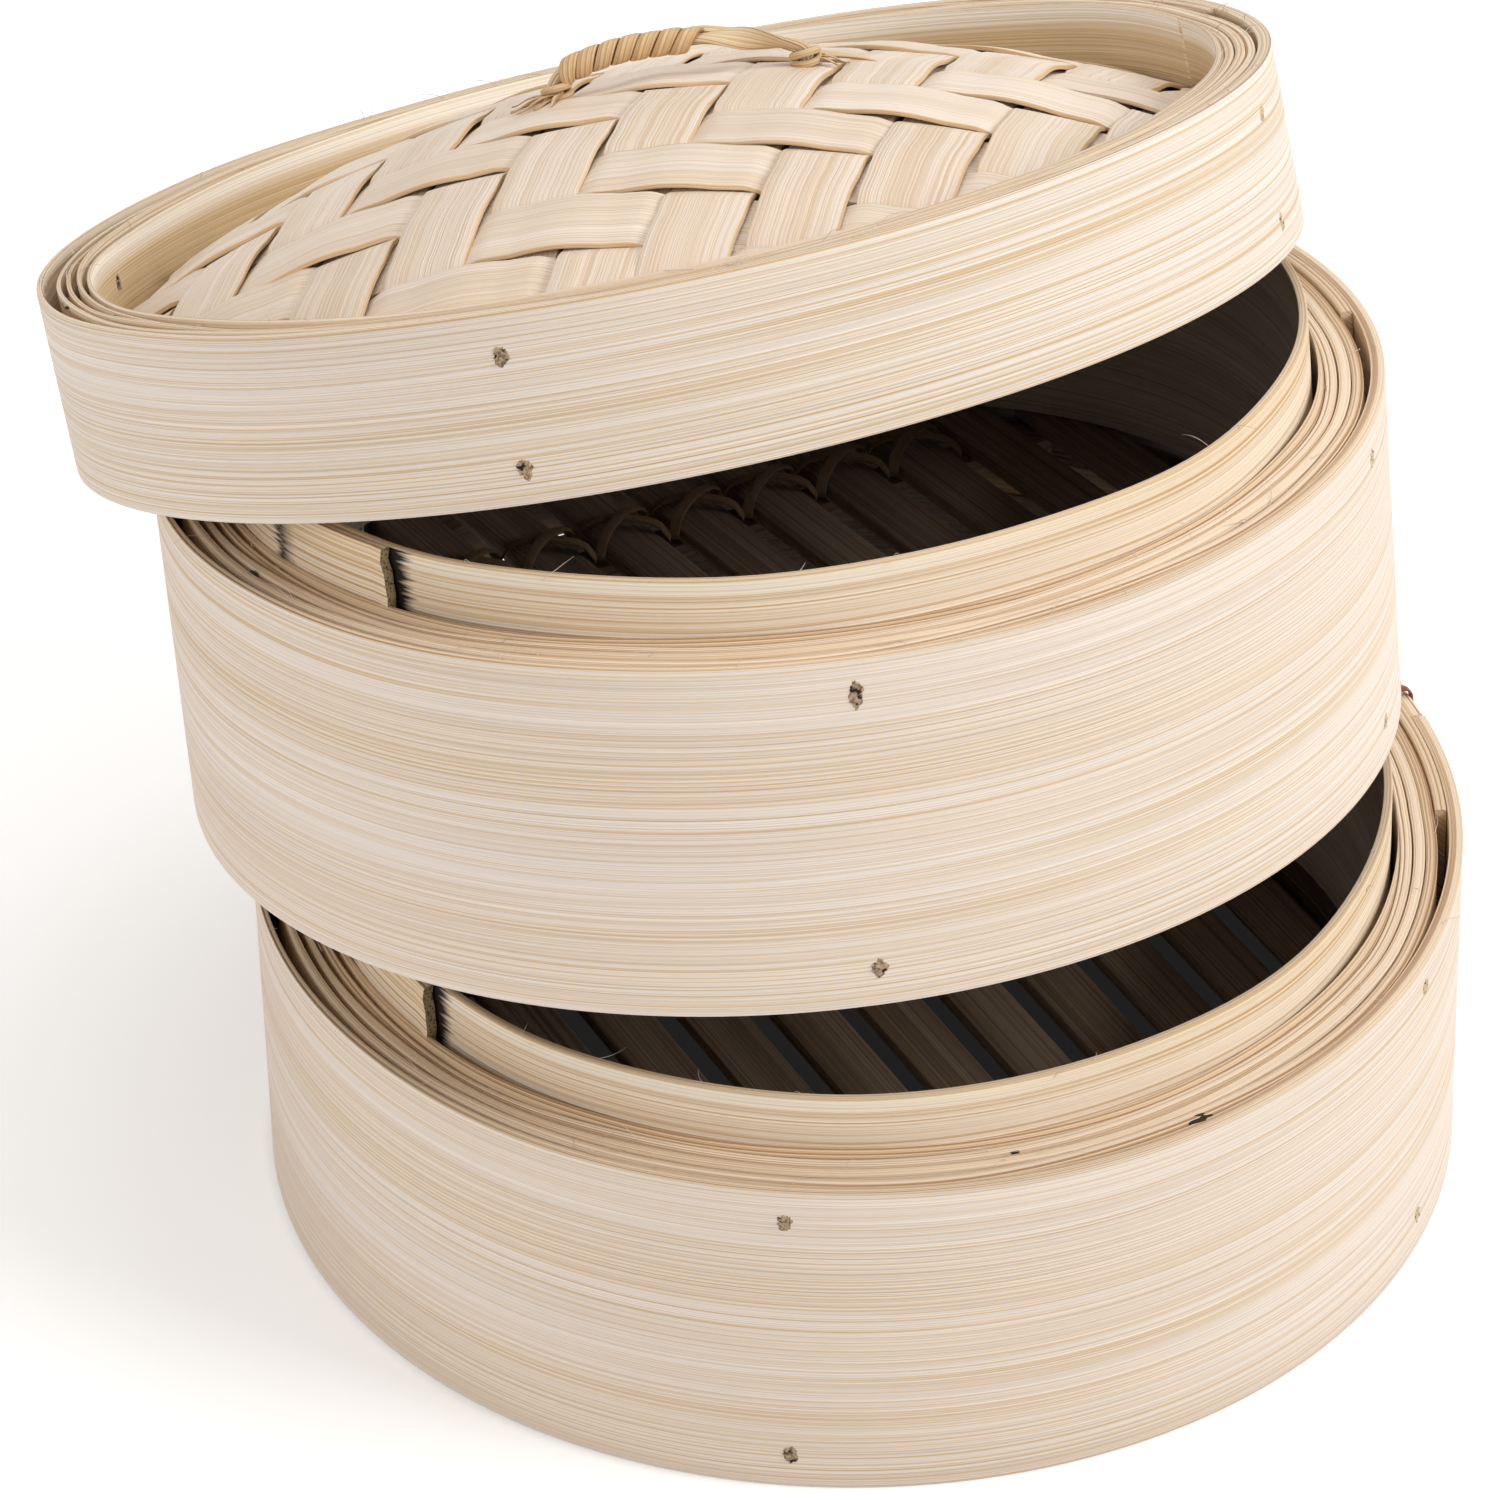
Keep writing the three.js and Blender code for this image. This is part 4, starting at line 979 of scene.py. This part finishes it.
def mat(dome):
    """The thin mat, a shell that follows the weave's under side."""
    bm = bmesh.new()
    steps = 24
    radii = [dome.radius * step / steps for step in range(steps + 1)]
    under = WEAVE_HALF_DEPTH + MAT_GAP
    points = [bm.verts.new((radius, 0, dome.level(radius, 0) - under)) for radius in radii]
    edges = [bm.edges.new(pair) for pair in zip(points, points[1:])]
    profile = points + edges
    bmesh.ops.spin(bm, geom=profile, cent=(0, 0, 0), axis=UP, angle=FULL_TURN, steps=96, use_merge=True)
    bmesh.ops.remove_doubles(bm, verts=bm.verts[:], dist=0.02 * MM)
    bmesh.ops.recalc_face_normals(bm, faces=bm.faces[:])
    bmesh.ops.solidify(bm, geom=bm.faces[:], thickness=MAT_THICKNESS)
    upper = [face for face in bm.faces if face.calc_center_median().z > dome.edge]
    if sum(face.normal.z * face.calc_area() for face in upper) < 0:
        bmesh.ops.reverse_faces(bm, faces=bm.faces[:])
    lay_maps(bm, lambda x, y, z: (x, y))
    return bm


# Handle


class Line:
    """A smooth line through key points, a Catmull-Rom spline, with even steps along it."""

    STEPS = 40

    def __init__(self, keys, count=400):
        self.points = self.even(self.smooth([Vector(key) for key in keys]), count)
        self.length = sum((b - a).length for a, b in zip(self.points, self.points[1:]))

    @staticmethod
    def smooth(keys):
        keys = [keys[0] * 2 - keys[1]] + keys + [keys[-1] * 2 - keys[-2]]
        points = []
        for a, b, c, d in zip(keys, keys[1:], keys[2:], keys[3:]):
            for step in range(Line.STEPS):
                t = step / Line.STEPS
                bend = (2 * a - 5 * b + 4 * c - d) * t ** 2 + (3 * b - a - 3 * c + d) * t ** 3
                points.append(0.5 * (2 * b + (c - a) * t + bend))
        return points + [keys[-2]]

    @staticmethod
    def even(points, count):
        runs = [0.0]
        for a, b in zip(points, points[1:]):
            runs.append(runs[-1] + (b - a).length)
        result, index = [], 0
        for step in range(count + 1):
            goal = runs[-1] * step / count
            while index < len(runs) - 2 and runs[index + 1] < goal:
                index += 1
            share = (goal - runs[index]) / max(runs[index + 1] - runs[index], 1e-9)
            result.append(points[index].lerp(points[index + 1], min(max(share, 0), 1)))
        return result

    def at(self, run):
        """Point, level side and upward side at this length along the line."""
        place = min(max(run / self.length, 0), 1) * (len(self.points) - 1)
        index = min(int(place), len(self.points) - 2)
        point = self.points[index].lerp(self.points[index + 1], place - index)
        low, high = max(index - 3, 0), min(index + 4, len(self.points) - 1)
        along = (self.points[high] - self.points[low]).normalized()
        side = Vector((0, 1, 0))
        return point, side, along.cross(side)


def handle_line(dome):
    """Up through the weave, a low arch over the crown, and down again."""
    crown = dome.top(0, 0)
    knot_top = 2.6 * MM
    tail = 5.9 * MM
    left, right = HANDLE_LEFT_FOOT, HANDLE_RIGHT_FOOT
    at_left, at_right = dome.top(left, 0), dome.top(right, 0)
    keys = [
        (left, at_left - tail), (left, at_left), (left, at_left + knot_top),
        (left + HANDLE_SHOULDER, at_left + 0.85 * HANDLE_RISE),
        ((left * 2 + right) / 3, crown + HANDLE_RISE),
        ((left + right * 2) / 3, crown + 0.85 * HANDLE_RISE),
        (right - HANDLE_SHOULDER, at_right + knot_top + 0.3 * HANDLE_RISE),
        (right, at_right + knot_top), (right, at_right), (right, at_right - tail),
    ]
    return Line([(x, 0, z) for x, z in keys])


def handle_core(line, wrap_end, splint_end):
    """The splint of the handle: round under the winding, then flat and twisted to its right foot."""

    def place(x, y, z):
        point, side, upright = line.at(x)
        share = min(max((x - wrap_end) / (splint_end - wrap_end), 0), 1)
        swell = math.sin(math.pi * share) ** 0.7
        twist = math.radians(SPLINT_TWIST) * smooth_step(0, 1, share)
        across = y * (HANDLE_CORE_RADIUS + (SPLINT_HALF_WIDTH - HANDLE_CORE_RADIUS) * swell)
        over = z * (HANDLE_CORE_RADIUS + (SPLINT_HALF_THICKNESS - HANDLE_CORE_RADIUS) * swell)
        return (point + side * (across * math.cos(twist) - over * math.sin(twist))
                + upright * (across * math.sin(twist) + over * math.cos(twist)))

    return reshape(round_strand(line.length, 1.0, 120, 16, 4.0), place)


def handle_winding(line):
    """Flat cane wound round the core, each turn laid a little crookedly against the last."""
    turn_length = FULL_TURN * (HANDLE_CORE_RADIUS + WRAP_THICKNESS)

    def place(x, y, z):
        turn = x / turn_length
        angle = -FULL_TURN * turn
        crooked = 0.35 * MM * noise.noise(Vector((turn * 0.9, 3.3, 0))) + 0.6 * MM * math.sin(angle)
        point, side, upright = line.at(HANDLE_LEG + turn * WRAP_PITCH + z + crooked)
        bulge = 0.15 * MM * (1 - (2 * z / WRAP_WIDTH - 1) ** 2)
        bulge += 0.25 * MM * noise.noise(Vector((turn * 2.3, 7.1, 0)))
        outward = side * math.cos(angle) + upright * math.sin(angle)
        return point + outward * (HANDLE_CORE_RADIUS + 0.15 * MM + y + bulge)

    length, steps = WRAP_TURNS * turn_length, WRAP_TURNS * 28
    return reshape(straight_strip(length, WRAP_WIDTH, WRAP_THICKNESS, steps, 3, 0.25 * MM, 9.0), place)


def loose_strand(dome):
    """A thin second strand that leaves the winding, runs beside the splint and dips into the weave."""
    right = HANDLE_RIGHT_FOOT
    arch = dome.top(0, 0) + HANDLE_RISE
    keys = [(6 * MM, 1 * MM, arch + 0.9 * MM), (12 * MM, 2 * MM, arch + 0.7 * MM),
            (20 * MM, 3 * MM, dome.top(0, 0) + 0.62 * HANDLE_RISE)]
    for x, y, above in ((right, 4 * MM, 1.4 * MM), (right + 9 * MM, 2 * MM, 0.5 * MM),
                        (right + 17 * MM, -2 * MM, -1.2 * MM)):
        keys.append((x, y, dome.top(x, y) + above))
    line = Line(keys, 120)
    width, thickness = 1.7 * MM, 0.4 * MM

    def place(x, y, z):
        point, side, upright = line.at(x * line.length)
        roll = 0.7 * math.sin(4 * x)
        flat = side * math.cos(roll) + upright * math.sin(roll)
        raised = upright * math.cos(roll) - side * math.sin(roll)
        return point + flat * (z - width / 2) + raised * (y - thickness / 2)

    return reshape(straight_strip(1.0, width, thickness, 60, 1, 0.12 * MM, 6.0), place, line.length)


def make_handle(dome):
    line = handle_line(dome)
    turn = Matrix.Rotation(math.radians(HANDLE_AZIMUTH), 4, "Z")
    wrap_end = HANDLE_LEG + WRAP_TURNS * WRAP_PITCH
    core = join([handle_core(line, wrap_end, line.length - HANDLE_LEG), loose_strand(dome)])
    core.transform(turn)
    make_piece("lid_handle_splint", core, "lid", ["splint"], ["lid_handle_core"])
    winding = handle_winding(line)
    winding.transform(turn)
    make_piece("lid_handle_winding", winding, "lid", ["cane"], ["lid_handle_wrap"], 35)
    for side, foot in (("left", HANDLE_LEFT_FOOT), ("right", HANDLE_RIGHT_FOOT)):
        tie = tied_foot(dome, foot, side)
        tie.transform(turn)
        make_piece("lid_handle_tie_" + side, tie, "lid", ["splint"],
                   ["lid_handle_knot_" + side], 35)


def tied_foot(dome, foot, side):
    """Cane tied twice round a leg, with frayed ends lying on the weave."""
    base = dome.top(foot, 0) + 0.7 * MM
    radius = HANDLE_CORE_RADIUS + 0.9 * MM

    def loop(turn):

        def place(x, y, z):
            angle = FULL_TURN * x
            tilt = 0.35 * MM * math.sin(angle + 2.4 * turn)
            out = radius + y
            return foot + out * math.cos(angle), out * math.sin(angle), base + turn * TIE_SPACING + tilt + z

        strand = reshape(round_strand(1.0, TIE_RADIUS, 30, 8, turn * 2.0), place, FULL_TURN * radius)
        bmesh.ops.remove_doubles(strand, verts=strand.verts[:], dist=0.01 * MM)
        return strand

    frays = [frayed_end(dome, foot, side, number) for number in range(FRAYED_ENDS[side])]
    return join([loop(0), loop(1)] + frays)


def frayed_end(dome, foot, side, number):
    """One torn strand that leaves the tie and lies over the weave."""
    heading = math.radians(CHANCE.uniform(*FRAYED_HEADINGS[side]))
    reach = CHANCE.uniform(3.0, 8.0) * MM
    lift = CHANCE.uniform(0.1, 1.0) * MM
    curl = CHANCE.uniform(-0.3, 0.3)
    width = CHANCE.uniform(0.5, 1.8) * MM
    thickness = 0.2 * MM

    def place(x, y, z):
        angle = heading + curl * x
        out = HANDLE_CORE_RADIUS + reach * x
        ray = Vector((math.cos(angle), math.sin(angle)))
        point = Vector((foot, 0)) + ray * out + Vector((-ray.y, ray.x)) * z * (1 - 0.75 * x)
        arch = lift * math.sin(math.pi * min(x + 0.15, 1))
        return point.x, point.y, dome.top(*point) + 0.4 * MM + arch + y

    return reshape(straight_strip(1.0, width, thickness, 10, 0, 0.06 * MM, number * 1.3), place, reach)


# Studio


def make_floor_finish():
    """White floor with dark brown painted shade under the basket, glowing only for the camera and for
    reflections.
    """
    finish = Finish("white_studio_floor", 0.9, 0.1)
    finish.shader.inputs["Emission Color"].default_value = grey(1)
    light_path = finish.add("ShaderNodeLightPath").outputs
    seen = finish.sum("MAXIMUM", light_path["Is Camera Ray"], light_path["Is Glossy Ray"])
    middle = PLACES["lower_basket"].translation
    place = finish.add("ShaderNodeTexCoord").outputs["Object"]
    away = finish.add("ShaderNodeVectorMath", {0: place}, operation="DISTANCE", in_1=(middle.x, middle.y, 0))
    away = away.outputs["Value"]
    # Painted shade: the floor's colour is dark brown under the basket and white beyond it
    outside = finish.ramp(away, (UNDER_BASKET, 0), (FLOOR_START, 1))
    finish.colour(finish.blend(outside, linear("#5A4A3A"), linear("#F4F4F4")))
    # Far from the lamps the floor glows more, so that it meets the white background without an edge
    glows = finish.ramp(away, (UNDER_BASKET, 0.013), (FLOOR_START, 0.3), (0.5, 0.3), (0.95, 1))
    glow = finish.sum("MULTIPLY", seen, glows)
    finish.tree.links.new(glow, finish.shader.inputs["Emission Strength"])
    return finish.material


def make_studio():
    bm = bmesh.new()
    bmesh.ops.create_circle(bm, cap_ends=True, segments=96, radius=FLOOR_RADIUS)
    mesh = bpy.data.meshes.new("studio_floor")
    bm.to_mesh(mesh)
    bm.free()
    mesh.materials.append(make_floor_finish())
    floor = bpy.data.objects.new("studio_floor", mesh)
    bpy.context.scene.collection.objects.link(floor)
    floor.location.z = cad_box[0].z - 0.05 * MM

    # White for the camera and for reflections, dimmer as light
    world = bpy.data.worlds.new("studio")
    bpy.context.scene.world = world
    world.use_nodes = True
    background = world.node_tree.nodes["Background"]
    background.inputs["Color"].default_value = grey(1)
    path = add_node(world.node_tree, "ShaderNodeLightPath").outputs
    links = {0: path["Is Camera Ray"], 1: path["Is Glossy Ray"]}
    seen = add_node(world.node_tree, "ShaderNodeMath", links, operation="MAXIMUM").outputs[0]
    strength = add_node(world.node_tree, "ShaderNodeMapRange", {"Value": seen}, in_3=WORLD_LIGHT, in_4=1.0)
    world.node_tree.links.new(strength.outputs[0], background.inputs["Strength"])
    for name, facts in LAMPS.items():
        lamp(name, *facts)


def lamp(name, place, power, size, tint):
    data = bpy.data.lights.new(name, "AREA")
    data.energy = power
    data.size = size
    data.color = linear(tint)[:3]
    light = bpy.data.objects.new(name, data)
    light.location = place
    light.rotation_euler = (LAMP_AIM - Vector(place)).to_track_quat("-Z", "Y").to_euler()
    bpy.context.scene.collection.objects.link(light)


def make_camera():
    data = bpy.data.cameras.new("photo_camera")
    data.lens = CAMERA_LENS
    data.sensor_width = 36
    data.clip_end = 50
    camera = bpy.data.objects.new("photo_camera", data)
    aim = PLACES["lower_basket"].translation + UP * CAMERA_AIM_HEIGHT
    elevation = math.radians(CAMERA_ELEVATION)
    back = Vector((0, -math.cos(elevation), math.sin(elevation)))
    camera.location = aim + back * CAMERA_DISTANCE
    camera.rotation_euler = [math.radians(angle) for angle in CAMERA_TURN]
    bpy.context.scene.collection.objects.link(camera)
    bpy.context.scene.camera = camera
    bpy.context.scene.view_settings.view_transform = "Standard"


make_camera()
make_studio()
for body, finishes in (("lower_basket", ("pale", "inner")), ("upper_basket", ("pale", "inner")),
                       ("lid", ("pale_lid", "lid_inner"))):
    make_wall(body, *finishes)
    make_pegs(body)
for body in ("lower_basket", "upper_basket"):
    make_collar(body)
    make_floor(body)
woven_dome = Dome()
make_dome(woven_dome)
make_handle(woven_dome)
